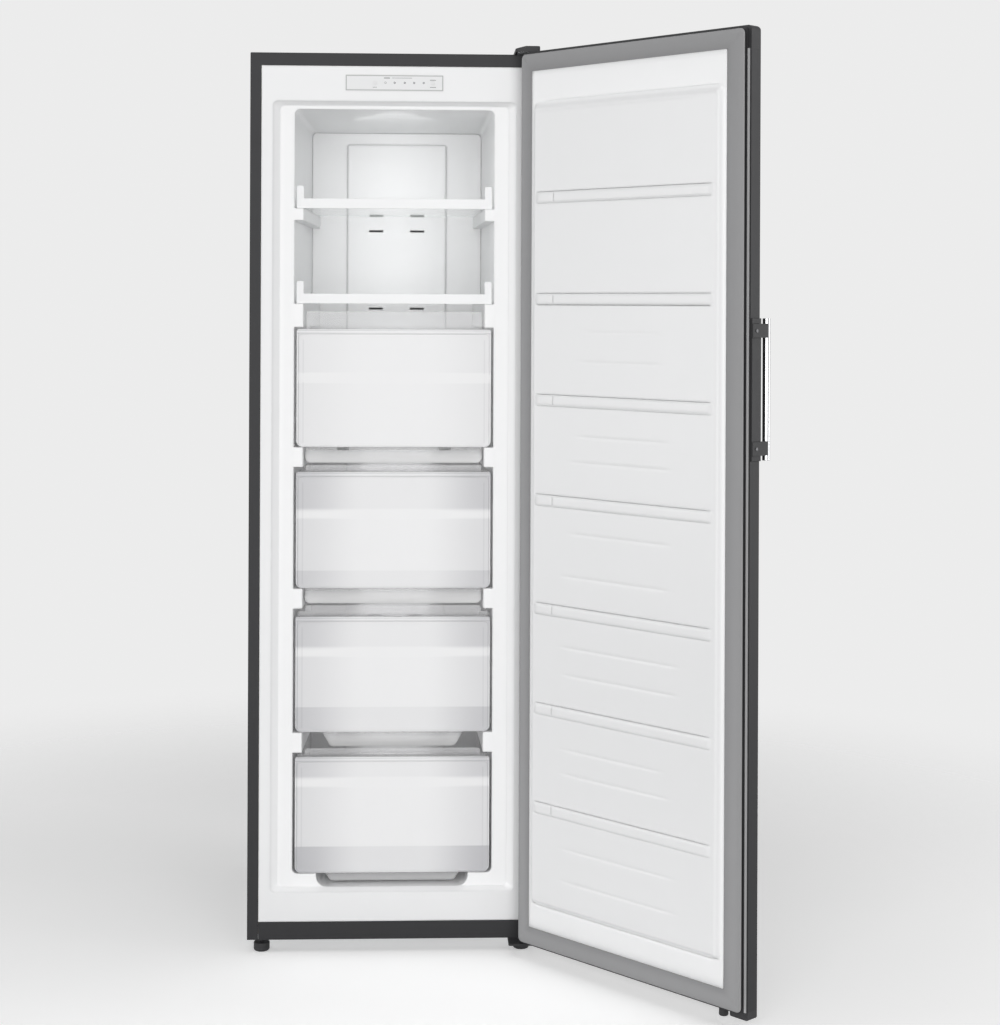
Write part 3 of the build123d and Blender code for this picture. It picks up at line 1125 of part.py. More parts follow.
BOSS_RADIUS = BUSH_RADIUS + BUSH_BOSS
BUSH_BOTTOM = DOOR_TOP - PIN_REACH - BUSH_BED
BOSS_BOTTOM = BUSH_BOTTOM - BUSH_BED
with BuildPart() as door_top_cap:
    with BuildSketch(plan(SKIN_TOP)):
        door_outline(0)
    extrude(amount=TOP_CAP_HEIGHT)
    fillet(edges().filter_by(Axis.Y).group_by(Axis.Z)[-1], TOP_CAP_CORNER)
    block((-HALF + CAP_WALL, HALF - CAP_WALL), (DOOR_FRONT + CAP_WALL, SKIN_BACK - CAP_WALL),
          (SKIN_TOP - 1, DOOR_TOP - TOP_CAP_ROOF), Mode.SUBTRACT)
    post(HINGE_X, HINGE_Y, (BOSS_BOTTOM, DOOR_TOP - TOP_CAP_ROOF), BOSS_RADIUS)
    post(HINGE_X, HINGE_Y, (BUSH_BOTTOM, DOOR_TOP + 1), BUSH_RADIUS + RUNNING_CLEAR, Mode.SUBTRACT)
door_top_cap.part = swung(door_top_cap.part)
door_top_cap.part.label = "door_top_cap"
export_step(door_top_cap.part, "parts/door_top_cap.step")

with BuildPart() as door_bottom_cap:
    with BuildSketch(plan(DOOR_BOTTOM - TOE_DROP)):
        door_outline(0)
    extrude(amount=BOTTOM_CAP_HEIGHT + TOE_DROP)
    block((-HALF + TOE_LENGTH, HALF + 1), (DOOR_FRONT - 1, SKIN_BACK + 1),
          (DOOR_BOTTOM - 2 * TOE_DROP, DOOR_BOTTOM), Mode.SUBTRACT)
    fillet(edges().filter_by(Axis.Y).group_by(Axis.Z)[0], BOTTOM_CAP_RADIUS)
    block((-HALF + CAP_WALL, HALF - CAP_WALL), (DOOR_FRONT + CAP_WALL, SKIN_BACK - CAP_WALL),
          (DOOR_BOTTOM + CAP_WALL, SKIN_BOTTOM + 1), Mode.SUBTRACT)
    post(HINGE_X, HINGE_Y, (DOOR_BOTTOM, DOOR_BOTTOM + PIN_REACH), BOSS_RADIUS)
    post(HINGE_X, HINGE_Y, (DOOR_BOTTOM - 1, DOOR_BOTTOM + PIN_REACH), BUSH_RADIUS + RUNNING_CLEAR,
         Mode.SUBTRACT)
door_bottom_cap.part = swung(door_bottom_cap.part)
door_bottom_cap.part.label = "door_bottom_cap"
export_step(door_bottom_cap.part, "parts/door_bottom_cap.step")

with BuildPart() as door_bushes:
    for low, high in ((DOOR_BOTTOM + CLEAR, DOOR_BOTTOM + PIN_REACH), (BUSH_BOTTOM, DOOR_TOP)):
        post(HINGE_X, HINGE_Y, (low, high), BUSH_RADIUS)
        post(HINGE_X, HINGE_Y, (low - 1, high + 1), PIN_RADIUS + RUNNING_CLEAR, Mode.SUBTRACT)
door_bushes.part = swung(door_bushes.part)
door_bushes.part.label = "door_bushes"
export_step(door_bushes.part, "parts/door_bushes.step")

with BuildPart() as door_stop:
    post(STOP_X, HINGE_Y, (DOOR_BOTTOM - STOP_DROP, DOOR_BOTTOM), STOP_RADIUS)
    fillet(edges().filter_by(GeomType.CIRCLE).group_by(Axis.Z)[0], STOP_EDGE)
door_stop.part = swung(door_stop.part)
door_stop.part.label = "door_stop"
export_step(door_stop.part, "parts/door_stop.step")


def plateau(shrink):
    """The raised middle of the door's inner panel, drawn in by a wall's thickness for its inside."""
    with BuildPart() as raised:
        block((-PANEL_HALF + shrink, PANEL_HALF - shrink), (SKIN_BACK - 2 * shrink, PANEL_Y - shrink),
              (PANEL_BOTTOM + shrink, PANEL_TOP - shrink))
        loft([
            window(PANEL_Y - shrink, PANEL_HALF - shrink, PLATEAU_BASE_BOTTOM + shrink,
                   PLATEAU_BASE_TOP - shrink, PLATEAU_RADIUS + LINER),
            window(PLATEAU_Y - shrink, PLATEAU_HALF - shrink, PLATEAU_BOTTOM + shrink,
                   PLATEAU_TOP - shrink, PLATEAU_RADIUS),
        ])
    return raised.part


panel_outside = plateau(0.0)
panel_inside = plateau(LINER)
panel_core = plateau(LINER + CLEAR)

with BuildPart() as door_liner:
    block((-GASKET_OUTER_HALF, GASKET_OUTER_HALF), (SKIN_BACK, SEAT_Y), (GASKET_BOTTOM, GASKET_TOP))
    add(panel_outside)
    add(panel_inside, mode=Mode.SUBTRACT)
    rib_height = PLATEAU_BOTTOM
    for rise in RIB_RISES:
        rib_height += rise
        with BuildSketch(across(PLATEAU_Y)):
            with Locations(((RIB_LEFT + RIB_RIGHT) / 2, rib_height)):
                RectangleRounded(RIB_RIGHT - RIB_LEFT, RIB_TALL, RIB_TALL / 2 - 1)
        extrude(amount=-RIB_PROUD, taper=RIB_TAPER)
door_liner.part = swung(door_liner.part)
door_liner.part.label = "door_liner"
export_step(door_liner.part, "parts/door_liner.step")

with BuildPart() as door_foam:
    block((-HALF + CAP_WALL + CLEAR, HALF - CAP_WALL - CLEAR),
          (DOOR_FRONT + CAP_WALL + CLEAR, SKIN_BACK - CAP_WALL - CLEAR),
          (DOOR_BOTTOM + CAP_WALL + CLEAR, DOOR_TOP - TOP_CAP_ROOF - CLEAR))
    fillet(edges().filter_by(Axis.Z).group_by(Axis.Y)[0], DOOR_CORNER - CAP_WALL)
    add(panel_core)
    for low, high in ((0, DOOR_BOTTOM + PIN_REACH), (BOSS_BOTTOM, DOOR_TOP)):
        post(HINGE_X, HINGE_Y, (low - CLEAR, high + CLEAR), BOSS_RADIUS + CLEAR, Mode.SUBTRACT)
    for z in HANDLE_MIDDLES:
        bar_along_x((-HALF, -HALF + HANDLE_SCREW_LENGTH + LINER), HANDLE_SCREW_Y, z,
                    HANDLE_SCREW_RADIUS + CLEAR, Mode.SUBTRACT)
door_foam.part = swung(door_foam.part)
door_foam.part.label = "door_foam"
export_step(door_foam.part, "parts/door_foam.step")

with BuildPart() as gasket:
    block((-GASKET_OUTER_HALF, GASKET_OUTER_HALF), (SEAT_Y, GASKET_Y), (GASKET_BOTTOM, GASKET_TOP))
    block((-GASKET_INNER_HALF, GASKET_INNER_HALF), (SEAT_Y - 1, GASKET_Y + 1),
          (GASKET_INNER_BOTTOM, GASKET_INNER_TOP), Mode.SUBTRACT)
    fillet(faces().sort_by(Axis.Y)[-1].edges(), GASKET_RADIUS)
gasket.part = swung(gasket.part)
gasket.part.label = "gasket"
export_step(gasket.part, "parts/gasket.step")

# ---- Handle ----

with BuildPart() as handle_bar:
    post(BAR_X, BAR_Y, (HANDLE_BOTTOM, HANDLE_TOP), BAR_RADIUS)
    fillet(edges().filter_by(GeomType.CIRCLE), BAR_EDGE)
handle_bar.part = swung(handle_bar.part)
handle_bar.part.label = "handle_bar"
export_step(handle_bar.part, "parts/handle_bar.step")

GRIP_Y = (DOOR_FRONT + GRIP_SETBACK, DOOR_FRONT + GRIP_BACK)
with BuildPart() as grip_plate:
    block((-HALF - GRIP_WALL, -HALF), GRIP_Y, (HANDLE_BOTTOM, HANDLE_TOP))
    fillet(edges().filter_by(Axis.Y).filter_by(lambda e: e.center().X < -HALF - 1), GRIP_EDGE)
    for middle in HANDLE_MIDDLES:
        block((-HALF - 2 * GRIP_WALL, -HALF + 1), (GRIP_Y[0] - 1, GRIP_Y[1] + 1),
              (middle - BRACKET_HEIGHT / 2 - CLEAR / 2, middle + BRACKET_HEIGHT / 2 + CLEAR / 2),
              Mode.SUBTRACT)
grip_plate.part = swung(grip_plate.part)
grip_plate.part.label = "grip_plate"
export_step(grip_plate.part, "parts/grip_plate.step")

with BuildPart() as handle_brackets:
    for middle in HANDLE_MIDDLES:
        block((-HALF - BRACKET_WALL, -HALF), (BAR_Y + BAR_RADIUS / 2, GRIP_Y[1]),
              (middle - BRACKET_HEIGHT / 2, middle + BRACKET_HEIGHT / 2))
    post(BAR_X, BAR_Y, (HANDLE_BOTTOM - 1, HANDLE_TOP + 1), BAR_RADIUS + RUNNING_CLEAR, Mode.SUBTRACT)
    for z in HANDLE_MIDDLES:
        bar_along_x((-HALF - 2 * BRACKET_WALL, -HALF + 1), HANDLE_SCREW_Y, z,
                    HANDLE_SCREW_RADIUS + RUNNING_CLEAR, Mode.SUBTRACT)
handle_brackets.part = swung(handle_brackets.part)
handle_brackets.part.label = "handle_brackets"
export_step(handle_brackets.part, "parts/handle_brackets.step")

with BuildPart() as handle_screws:
    for z in HANDLE_MIDDLES:
        bar_along_x((-HALF - BRACKET_WALL, -HALF + HANDLE_SCREW_LENGTH), HANDLE_SCREW_Y, z,
                    HANDLE_SCREW_RADIUS)
        bar_along_x((-HALF - BRACKET_WALL - HANDLE_SCREW_CROWN, -HALF - BRACKET_WALL), HANDLE_SCREW_Y,
                    z, HANDLE_SCREW_HEAD)
handle_screws.part = swung(handle_screws.part)
handle_screws.part.label = "handle_screws"
export_step(handle_screws.part, "parts/handle_screws.step")
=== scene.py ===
import json
import math

import bpy
import numpy as np
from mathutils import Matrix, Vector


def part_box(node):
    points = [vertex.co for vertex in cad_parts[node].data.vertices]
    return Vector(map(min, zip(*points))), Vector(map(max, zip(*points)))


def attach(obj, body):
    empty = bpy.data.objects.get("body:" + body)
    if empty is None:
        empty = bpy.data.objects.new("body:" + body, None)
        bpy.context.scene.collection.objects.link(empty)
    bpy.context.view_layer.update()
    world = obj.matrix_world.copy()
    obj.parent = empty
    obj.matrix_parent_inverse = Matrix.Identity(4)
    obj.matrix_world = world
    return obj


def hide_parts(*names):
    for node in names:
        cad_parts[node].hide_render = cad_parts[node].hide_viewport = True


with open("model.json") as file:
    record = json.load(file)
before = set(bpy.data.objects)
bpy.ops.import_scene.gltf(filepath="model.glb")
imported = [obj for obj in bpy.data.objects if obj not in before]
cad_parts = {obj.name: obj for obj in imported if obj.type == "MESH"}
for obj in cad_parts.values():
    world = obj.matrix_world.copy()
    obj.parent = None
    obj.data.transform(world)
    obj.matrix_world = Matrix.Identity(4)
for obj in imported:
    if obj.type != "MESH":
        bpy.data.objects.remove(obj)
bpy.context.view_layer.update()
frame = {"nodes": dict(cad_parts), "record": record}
NODES = frame["nodes"]
MM = 0.001

# The door turns about the upper and lower pins; its pieces are worked out shut and then swung open.
HINGE = np.array([283.5, -332.0])
DOOR_ANGLE = math.radians(132.0)


def limits_of(node):
    """A solid's low and high corner in millimetres, each with its X, Y and Z."""
    low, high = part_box(node)
    return np.array(low) / MM, np.array(high) / MM


# ---- Shader maths ----

class Wire:
    """A value inside a material. Arithmetic on it adds Math nodes."""

    def __init__(self, finish, socket):
        self.finish = finish
        self.socket = socket

    def math(self, operation, *others):
        """This value and any others through one Math node."""
        return self.finish.node("ShaderNodeMath", {"operation": operation},
                                dict(enumerate((self,) + others)))

    def __add__(self, other):
        return self.math("ADD", other)

    def __radd__(self, other):
        return self.math("ADD", other)

    def __sub__(self, other):
        return self.math("SUBTRACT", other)

    def __rsub__(self, other):
        return self.finish.node("ShaderNodeMath", {"operation": "SUBTRACT"}, {0: other, 1: self})

    def __mul__(self, other):
        return self.math("MULTIPLY", other)

    def __rmul__(self, other):
        return self.math("MULTIPLY", other)

    def size(self):
        """The value without its sign."""
        return self.math("ABSOLUTE")

    def larger(self, other):
        """The larger of two values."""
        return self.math("MAXIMUM", other)

    def clipped(self):
        """The value kept between 0 and 1."""
        return self.math("MAXIMUM", 0.0).math("MINIMUM", 1.0)

    def rise(self, low, high):
        """Goes smoothly from 0 at low to 1 at high."""
        return self.finish.node("ShaderNodeMapRange", {"interpolation_type": "SMOOTHSTEP"},
                                {"Value": self, "From Min": low, "From Max": high})

    def band(self, low, high, soft):
        """1 between low and high, fading to 0 over soft beyond them."""
        return self.rise(low - soft, low) * (1.0 - self.rise(high, high + soft))


class Finish:
    """A material: a Principled shader and the nodes that feed it."""

    def __init__(self, name, **constants):
        self.material = bpy.data.materials.new(name)
        self.material.use_nodes = True
        self.tree = self.material.node_tree
        self.tree.nodes.clear()
        self.shader = self.tree.nodes.new("ShaderNodeBsdfPrincipled")
        self.out = self.tree.nodes.new("ShaderNodeOutputMaterial")
        self.tree.links.new(self.shader.outputs[0], self.out.inputs[0])
        for socket, value in constants.items():
            self.shader.inputs[socket.replace("_", " ")].default_value = value

    def node(self, kind, settings, sockets, output=0):
        """Adds a node: its settings first, then its sockets' values or links."""
        made = self.tree.nodes.new(kind)
        for key, value in settings.items():
            setattr(made, key, value)
        for key, value in sockets.items():
            socket = made.inputs[key]
            if isinstance(value, Wire):
                self.tree.links.new(value.socket, socket)
            else:
                socket.default_value = value
        return Wire(self, made.outputs[output])

    def feed(self, socket, wire):
        """Links a value to a socket of the shader."""
        self.tree.links.new(wire.socket, self.shader.inputs[socket])
        return self

    def place(self):
        """The point's place in the object, in metres."""
        return self.node("ShaderNodeTexCoord", {}, {}, "Object")

    def axis(self, name):
        """One coordinate of the place in millimetres: X, Y or Z."""
        return self.node("ShaderNodeSeparateXYZ", {}, {0: self.place()}, name) * (1 / MM)

    def stretched(self, scale):
        """The place with each axis scaled, for marks that run one way."""
        return self.node("ShaderNodeMapping", {}, {"Vector": self.place(), "Scale": scale})

    def noise(self, scale, detail=3.0, rough=0.5, where=None):
        """Cloudy noise from 0 to 1."""
        return self.node("ShaderNodeTexNoise", {}, {"Vector": where or self.place(), "Scale": scale,
                                                    "Detail": detail, "Roughness": rough})

    def cells(self, scale, output="Distance"):
        """Cell noise: the distance to the nearest cell's middle, or the cell's colour."""
        return self.node("ShaderNodeTexVoronoi", {}, {"Vector": self.place(), "Scale": scale}, output)

    def mix(self, factor, first, second):
        """From the first colour at 0 to the second at 1."""
        return self.node("ShaderNodeMix", {"data_type": "RGBA"}, {0: factor, 6: first, 7: second}, 2)

    def rounded(self, radius):
        """The surface's direction with its edges softened by a radius in metres."""
        return self.node("ShaderNodeBevel", {"samples": 6}, {"Radius": radius})

    def relief(self, height, depth, normal=None, strength=1.0):
        """A height in 0..1 as a bump of a depth in metres."""
        sockets = {"Strength": strength, "Distance": depth, "Height": height}
        if normal:
            sockets["Normal"] = normal
        return self.feed("Normal", self.node("ShaderNodeBump", {}, sockets))


def grey(value):
    """A neutral colour."""
    return (value, value, value, 1.0)


def tint(colour, gain):
    """A colour made lighter or darker by a factor."""
    return tuple(min(1.0, c * gain) for c in colour[:3]) + (1.0,)


# ---- Finishes ----

def paint(name, colour, rough, peel_scale=900.0, peel=0.00004, spread=0.04, **constants):
    """Sprayed paint: faint cloudy colour, orange-peel relief and softly varying gloss."""
    finish = Finish(name, **constants)
    cloud = finish.noise(9.0, 3.0)
    finish.feed("Base Color", finish.mix(cloud, tint(colour, 1 - spread), tint(colour, 1 + spread)))
    finish.feed("Roughness", finish.noise(30.0, 4.0) * 0.08 + (rough - 0.04))
    return finish.relief(finish.noise(peel_scale, 2.0), peel)


def moulded(name, colour, rough, edge=0.0008, grain=700.0, grain_depth=0.00006, spread=0.03,
            **constants):
    """Moulded plastic: fine grain, edges softened by a radius, slight flow marks in the colour."""
    finish = Finish(name, **constants)
    flow = finish.noise(5.0, 4.0, 0.6)
    finish.feed("Base Color", finish.mix(flow, tint(colour, 1 - spread), tint(colour, 1 + spread)))
    finish.feed("Roughness", finish.noise(40.0, 3.0) * 0.1 + (rough - 0.05))
    return finish.relief(finish.cells(grain), grain_depth, finish.rounded(edge), 0.5)


def sheet_metal(name, colour, rough, spangle=60.0, **constants):
    """Plated sheet steel: crystal spangle in the gloss and colour, with fine rolling lines."""
    finish = Finish(name, Metallic=1.0, **constants)
    flakes = finish.cells(spangle, output="Color")
    tone = finish.node("ShaderNodeRGBToBW", {}, {0: flakes})
    lines = finish.noise(40.0, 4.0, where=finish.stretched((1.0, 1.0, 60.0)))
    finish.feed("Base Color", finish.mix(tone, tint(colour, 0.88), tint(colour, 1.12)))
    finish.feed("Roughness", tone * 0.14 + (rough - 0.07))
    return finish.relief(lines, 0.00003)


def polished(name, colour, rough):
    """Polished metal with faint wiping marks along its length."""
    finish = Finish(name, Metallic=1.0)
    marks = finish.noise(300.0, 3.0, where=finish.stretched((1.0, 1.0, 0.02)))
    finish.feed("Base Color", finish.mix(marks, tint(colour, 0.95), tint(colour, 1.04)))
    finish.feed("Roughness", marks * 0.08 + rough)
    return finish


def clear(name, colour, rough, opacity, edge=0.0015):
    """Clear or frosted plastic or glass that lets what is behind it show through evenly."""
    finish = Finish(name, Alpha=opacity)
    flow = finish.noise(6.0, 3.0)
    finish.feed("Base Color", finish.mix(flow, tint(colour, 0.985), tint(colour, 1.0)))
    finish.feed("Roughness", finish.noise(50.0, 3.0) * 0.08 + (rough - 0.04))
    return finish.relief(finish.noise(1200.0, 2.0), 0.00003, finish.rounded(edge), 0.4)


FROST_WHITE = (0.90, 0.90, 0.905, 1.0)
FROST_SHADE = (0.55, 0.55, 0.57, 1.0)


def drawer_face(name, node, shelf_light, floor_top, head_shade, floor_shade):
    """A drawer's frosted front with painted light and shade: soft painted shade at its sides, a
    painted light band where the basket's back ends, a painted dark band for the shade on the basket's
    floor, and fine painted shade lines along its rim, stiles and lips."""
    finish = Finish(name)
    low, high = limits_of(node)
    face_half, bottom, top = high[0], low[2], high[2]
    across, up = finish.axis("X"), finish.axis("Z")
    cloud = finish.noise(7.0, 3.0)
    side = across.size().rise(60.0, 190.0)
    # Painted shade towards the sides and over the upper part, a painted light band, and a painted
    # dark band over the basket's floor
    shade = side * (0.14 + 0.22 * head_shade) + cloud * 0.04
    head = up.rise(shelf_light, shelf_light + 14.0) * (0.12 + side * 0.30) * head_shade
    light = up.band(shelf_light - 7.0, shelf_light + 5.0, 7.0) * (0.12 + side * 0.22)
    floor = up.band(bottom, floor_top, 3.0) * (0.4 + side * 0.6) * floor_shade
    # Fine painted shade lines along the rim, the stiles and the top lips
    rim = across.size().band(face_half - 4.4, face_half - 3.4, 0.8) * up.band(bottom, top - 9.0, 2.0)
    stile = across.size().band(face_half - 14.5, face_half - 13.0, 1.5) * up.band(
        bottom + 12.0, top - 26.0, 8.0)
    lips = up.band(top - 8.9, top - 7.9, 0.8) + up.band(top - 3.0, top - 2.2, 0.7)
    painted_edge_shade = rim * 0.3 + lips * 0.45 + stile * 0.14
    amount = (shade + head + floor + painted_edge_shade - light).clipped()
    finish.feed("Base Color", finish.mix(amount, FROST_WHITE, FROST_SHADE))
    finish.feed("Roughness", finish.noise(50.0, 3.0) * 0.08 + 0.34)
    finish.feed("Alpha", 0.90 - painted_edge_shade * 0.1)
    return finish.relief(finish.noise(900.0, 2.0), 0.00003, finish.rounded(0.0018), 0.5)


def basket_clear(name, seat, keel_shade_tone):
    """A drawer's clear basket: painted greyer low down on its keel as painted shade, and clearer up
    at its rim.
    """
    finish = Finish(name)
    up = finish.axis("Z")
    # Painted shade: the keel is painted greyer low down, where it lies in shade under the drawer
    # front
    keel = 1.0 - up.rise(seat - 36.0, seat - 4.0)
    finish.feed("Base Color", finish.mix(keel, (0.92, 0.92, 0.93, 1.0), grey(keel_shade_tone)))
    finish.feed("Roughness", finish.noise(50.0, 3.0) * 0.06 + 0.2)
    finish.feed("Alpha", 0.26 + keel * 0.5)
    return finish.relief(finish.noise(40.0, 2.0), 0.00003, finish.rounded(0.0015), 0.3)


# Two tones of the liner's one white: the inside is painted lighter than the front face, painted light
FRONT_WHITE = (0.82, 0.823, 0.828, 1.0)
INSIDE_LIT_WHITE = (0.90, 0.902, 0.906, 1.0)


def liner_skin(name, front):
    """The liner's moulded white, with all that lies behind its front face painted lighter as painted
    light inside the cabinet, so its front face is a little greyer.
    """
    finish = moulded(name, INSIDE_LIT_WHITE, 0.34, edge=0.0045, grain_depth=0.00003, spread=0.008,
                     grain=500.0)
    # Painted light: everything behind the front face is painted lighter
    inside = finish.axis("Y").rise(front, front + 6.0)
    cloud = finish.noise(5.0, 4.0, 0.6) * 0.03
    finish.feed("Base Color", finish.mix((inside - cloud).clipped(), FRONT_WHITE, INSIDE_LIT_WHITE))
    return finish


LINER_WHITE = liner_skin("liner_white", limits_of("inner_liner")[0][1])
TRIM_WHITE = moulded("trim_white", (0.85, 0.855, 0.86), 0.3, edge=0.0015, grain_depth=0.00003,
                     spread=0.01)
PANEL_TONE = (0.77, 0.775, 0.78, 1.0)
PANEL_WHITE = moulded("panel_white", PANEL_TONE, 0.4, edge=0.0006, grain_depth=0.00003, spread=0.01)


def fascia_skin(name):
    """The control panel's white with a fine painted shade line just inside its edge: a band where the
    larger of the distances past its half width and half height is a little below zero."""
    finish = moulded(name, PANEL_TONE, 0.4, edge=0.0006, grain_depth=0.00003)
    low, high = limits_of("control_panel")
    middle, half = (low + high) / 2, (high - low) / 2
    across = (finish.axis("X") - middle[0]).size() - half[0]
    up = (finish.axis("Z") - middle[2]).size() - half[2]
    # Painted shade: a fine grey line just inside the panel's edge
    edge_shade = across.larger(up).band(-3.4, -1.8, 0.6)
    finish.feed("Base Color", finish.mix(edge_shade, PANEL_TONE, grey(0.42)))
    return finish


FASCIA_WHITE = fascia_skin("fascia_white")
DARK_PAINT = paint("dark_paint", (0.036, 0.036, 0.038), 0.42, Specular_IOR_Level=0.15)
DARK_PLASTIC = moulded("dark_plastic", (0.04, 0.04, 0.042), 0.5, edge=0.001, grain=1100.0,
                       Specular_IOR_Level=0.2)


def door_depth(finish):
    """Where a point of the open door stands front to back, in millimetres, once the door is shut."""
    turned = (finish.axis("Y") - HINGE[1]) * math.cos(DOOR_ANGLE)
    return turned - (finish.axis("X") - HINGE[0]) * math.sin(DOOR_ANGLE) + HINGE[1]


def depth_shaded(name, low_colour, high_colour, low, high, rough, edge, grain, grain_depth):
    """A moulding of the door painted with one colour low down towards its seat and another above,
    painted shade that follows its depth.
    """
    finish = moulded(name, low_colour, rough, edge=edge, grain=grain, grain_depth=grain_depth)
    raised = door_depth(finish).rise(low, high)
    cloud = finish.noise(5.0, 4.0, 0.6) * 0.06
    finish.feed("Base Color", finish.mix((raised - cloud).clipped(), low_colour, high_colour))
    return finish


# The seal painted near black low down towards its seat: painted shadow in the gap beside it
GASKET_GREY = depth_shaded("gasket_grey", grey(0.05), (0.285, 0.285, 0.29, 1.0), -304.4, -302.6, 0.55,
                         0.0006, 1500.0, 0.00004)
# The door panel's raised plateau painted a little darker than its rim: painted shade
DOOR_WHITE = depth_shaded("door_white", (0.87, 0.873, 0.878, 1.0), (0.80, 0.803, 0.808, 1.0), -301.0,
                        -294.0, 0.34, 0.0045, 500.0, 0.00003)
FROSTED = clear("drawer_frost", (0.88, 0.88, 0.89), 0.3, 0.4)
GLASS = clear("shelf_glass", (0.86, 0.91, 0.90), 0.08, 0.22, edge=0.0008)
# Lighter grey of the door's edge strips: a painted highlight on the skin's folded edge
TRIM_HIGHLIGHT_GREY = moulded("trim_highlight_grey", (0.50, 0.50, 0.505), 0.4, edge=0.0004)
CHROME = polished("handle_chrome", (0.50, 0.50, 0.51), 0.14)
DARK_STEEL = sheet_metal("dark_steel", (0.12, 0.12, 0.125), 0.5)
ZINC = sheet_metal("zinc_steel", (0.52, 0.53, 0.54), 0.42)
ALUMINIUM = sheet_metal("aluminium", (0.72, 0.73, 0.74), 0.34, spangle=15.0)
ENAMEL = paint("black_enamel", (0.018, 0.018, 0.02), 0.3, spread=0.1)
COPPER = sheet_metal("copper", (0.72, 0.36, 0.22), 0.28, spangle=20.0)
FOAM = moulded("foam", (0.72, 0.64, 0.40), 0.85, grain=300.0, grain_depth=0.0006, spread=0.08)
NYLON = moulded("nylon", (0.68, 0.67, 0.62), 0.45)
CIRCUIT = moulded("circuit", (0.03, 0.16, 0.06), 0.35, spread=0.15)
RUBBER = moulded("black_rubber", (0.02, 0.02, 0.02), 0.7, grain=900.0)
PRINT_GREY = moulded("print_grey", (0.19, 0.19, 0.2), 0.5, edge=0.0001)

FINISH_OF = {
    "dark_paint": DARK_PAINT, "dark_plastic": DARK_PLASTIC, "white_plastic": LINER_WHITE,
    "frosted_plastic": FROSTED, "shelf_glass": GLASS, "grey_rubber": GASKET_GREY,
    "black_rubber": RUBBER, "chrome": CHROME, "zinc_steel": ZINC, "aluminium": ALUMINIUM,
    "black_enamel": ENAMEL, "copper": COPPER, "foam": FOAM, "nylon": NYLON, "circuit": CIRCUIT,
}
OWN_FINISH = {
    "control_panel": FASCIA_WHITE, "button_power": PANEL_WHITE, "button_mode": PANEL_WHITE,
    "shelf_1_trim": TRIM_WHITE, "shelf_2_trim": TRIM_WHITE, "handle_screws": DARK_STEEL,
}
# Each drawer's painted light and shade: height of the painted light band and top of the painted dark
# floor band on its face, how strongly its upper part and its floor band are painted in shade, and how
# light its keel is painted
DRAWER_LOOKS = {
    1: (1158.0, 1015.0, 0.0, 0.0, 0.80),
    2: (876.0, 756.0, 1.0, 0.35, 0.76),
    3: (590.0, 473.0, 0.9, 0.45, 0.60),
    4: (320.0, 184.0, 0.8, 0.65, 0.50),
}
# How far a drawer's front hangs above the seat of its basket
FRONT_OVER_SEAT = 0.6
for number, (*looks, keel_shade_tone) in DRAWER_LOOKS.items():
    front = f"drawer_{number}_front"
    seat = limits_of(front)[0][2] - FRONT_OVER_SEAT
    OWN_FINISH[front] = drawer_face(f"drawer_{number}_frost", front, *looks)
    OWN_FINISH[f"drawer_{number}_basket"] = basket_clear(f"drawer_{number}_clear", seat, keel_shade_tone)


def coat(obj, finish):
    """Gives a piece one finish all over."""
    obj.data.materials.clear()
    obj.data.materials.append(finish.material)


for row in frame["record"]["subparts"]:
    name = row["node"]
    coat(NODES[name], OWN_FINISH.get(name, FINISH_OF[row["material_slot"]]))


# ---- Surfaces from formulas ----

def swung(points):
    """Points of the shut door in millimetres, turned about the hinge pins to the open door."""
    turned = np.array(points, float)
    dx = turned[..., 0] - HINGE[0]
    dy = turned[..., 1] - HINGE[1]
    c, s = math.cos(DOOR_ANGLE), math.sin(DOOR_ANGLE)
    turned[..., 0] = HINGE[0] + c * dx - s * dy
    turned[..., 1] = HINGE[1] + s * dx + c * dy
    return turned


def quads(rows, columns, closed_rows=False, closed_columns=False, flip=False):
    """The faces of a grid of points: cell (i, j) joins its four corners, round the closed ways."""
    i, j = np.meshgrid(np.arange(rows if closed_rows else rows - 1),
                       np.arange(columns if closed_columns else columns - 1), indexing="ij")
    a = i * columns + j
    b = i * columns + (j + 1) % columns
    c = ((i + 1) % rows) * columns + (j + 1) % columns
    d = ((i + 1) % rows) * columns + j
    faces = np.stack([a, b, c, d], -1).reshape(-1, 4)
    return faces[:, ::-1] if flip else faces


def mesh_of(name, vertices, faces, finish, body, smooth=True):
    """A piece from its points in millimetres and its faces, at the origin, riding on a body."""
    mesh = bpy.data.meshes.new(name)
    mesh.from_pydata((np.asarray(vertices, float).reshape(-1, 3) * MM).tolist(), [],
                     [list(map(int, face)) for face in faces])
    mesh.polygons.foreach_set("use_smooth", np.full(len(mesh.polygons), smooth))
    mesh.update()
    obj = bpy.data.objects.new(name, mesh)
    bpy.context.scene.collection.objects.link(obj)
    coat(obj, finish)
    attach(obj, body)
    return obj


def step(value, low, high):
    """Rises from 0 at low to 1 at high along 3t^2 - 2t^3."""
    t = np.clip((value - low) / (high - low), 0.0, 1.0)
    return t * t * (3 - 2 * t)


def hump(value, middle, half, soft):
    """1 within half of the middle, falling to 0 over soft beyond it."""
    return 1 - step(np.abs(value - middle), half, half + soft)


def line(value, middle, width):
    """A narrow bell: exp(-((value - middle) / width)^2)."""
    return np.exp(-((value - middle) / width) ** 2)


def samples(low, high, coarse, *groups):
    """Coarse even samples plus close ones round each middle: middle + every offset, sorted."""
    marks = [np.arange(low, high + coarse / 2, coarse), [low, high]]
    for middles, offsets in groups:
        marks.append((np.asarray(middles, float)[:, None] + np.asarray(offsets, float)).ravel())
    every = np.concatenate(marks)
    return np.unique(np.round(every[(every >= low) & (every <= high)], 2))


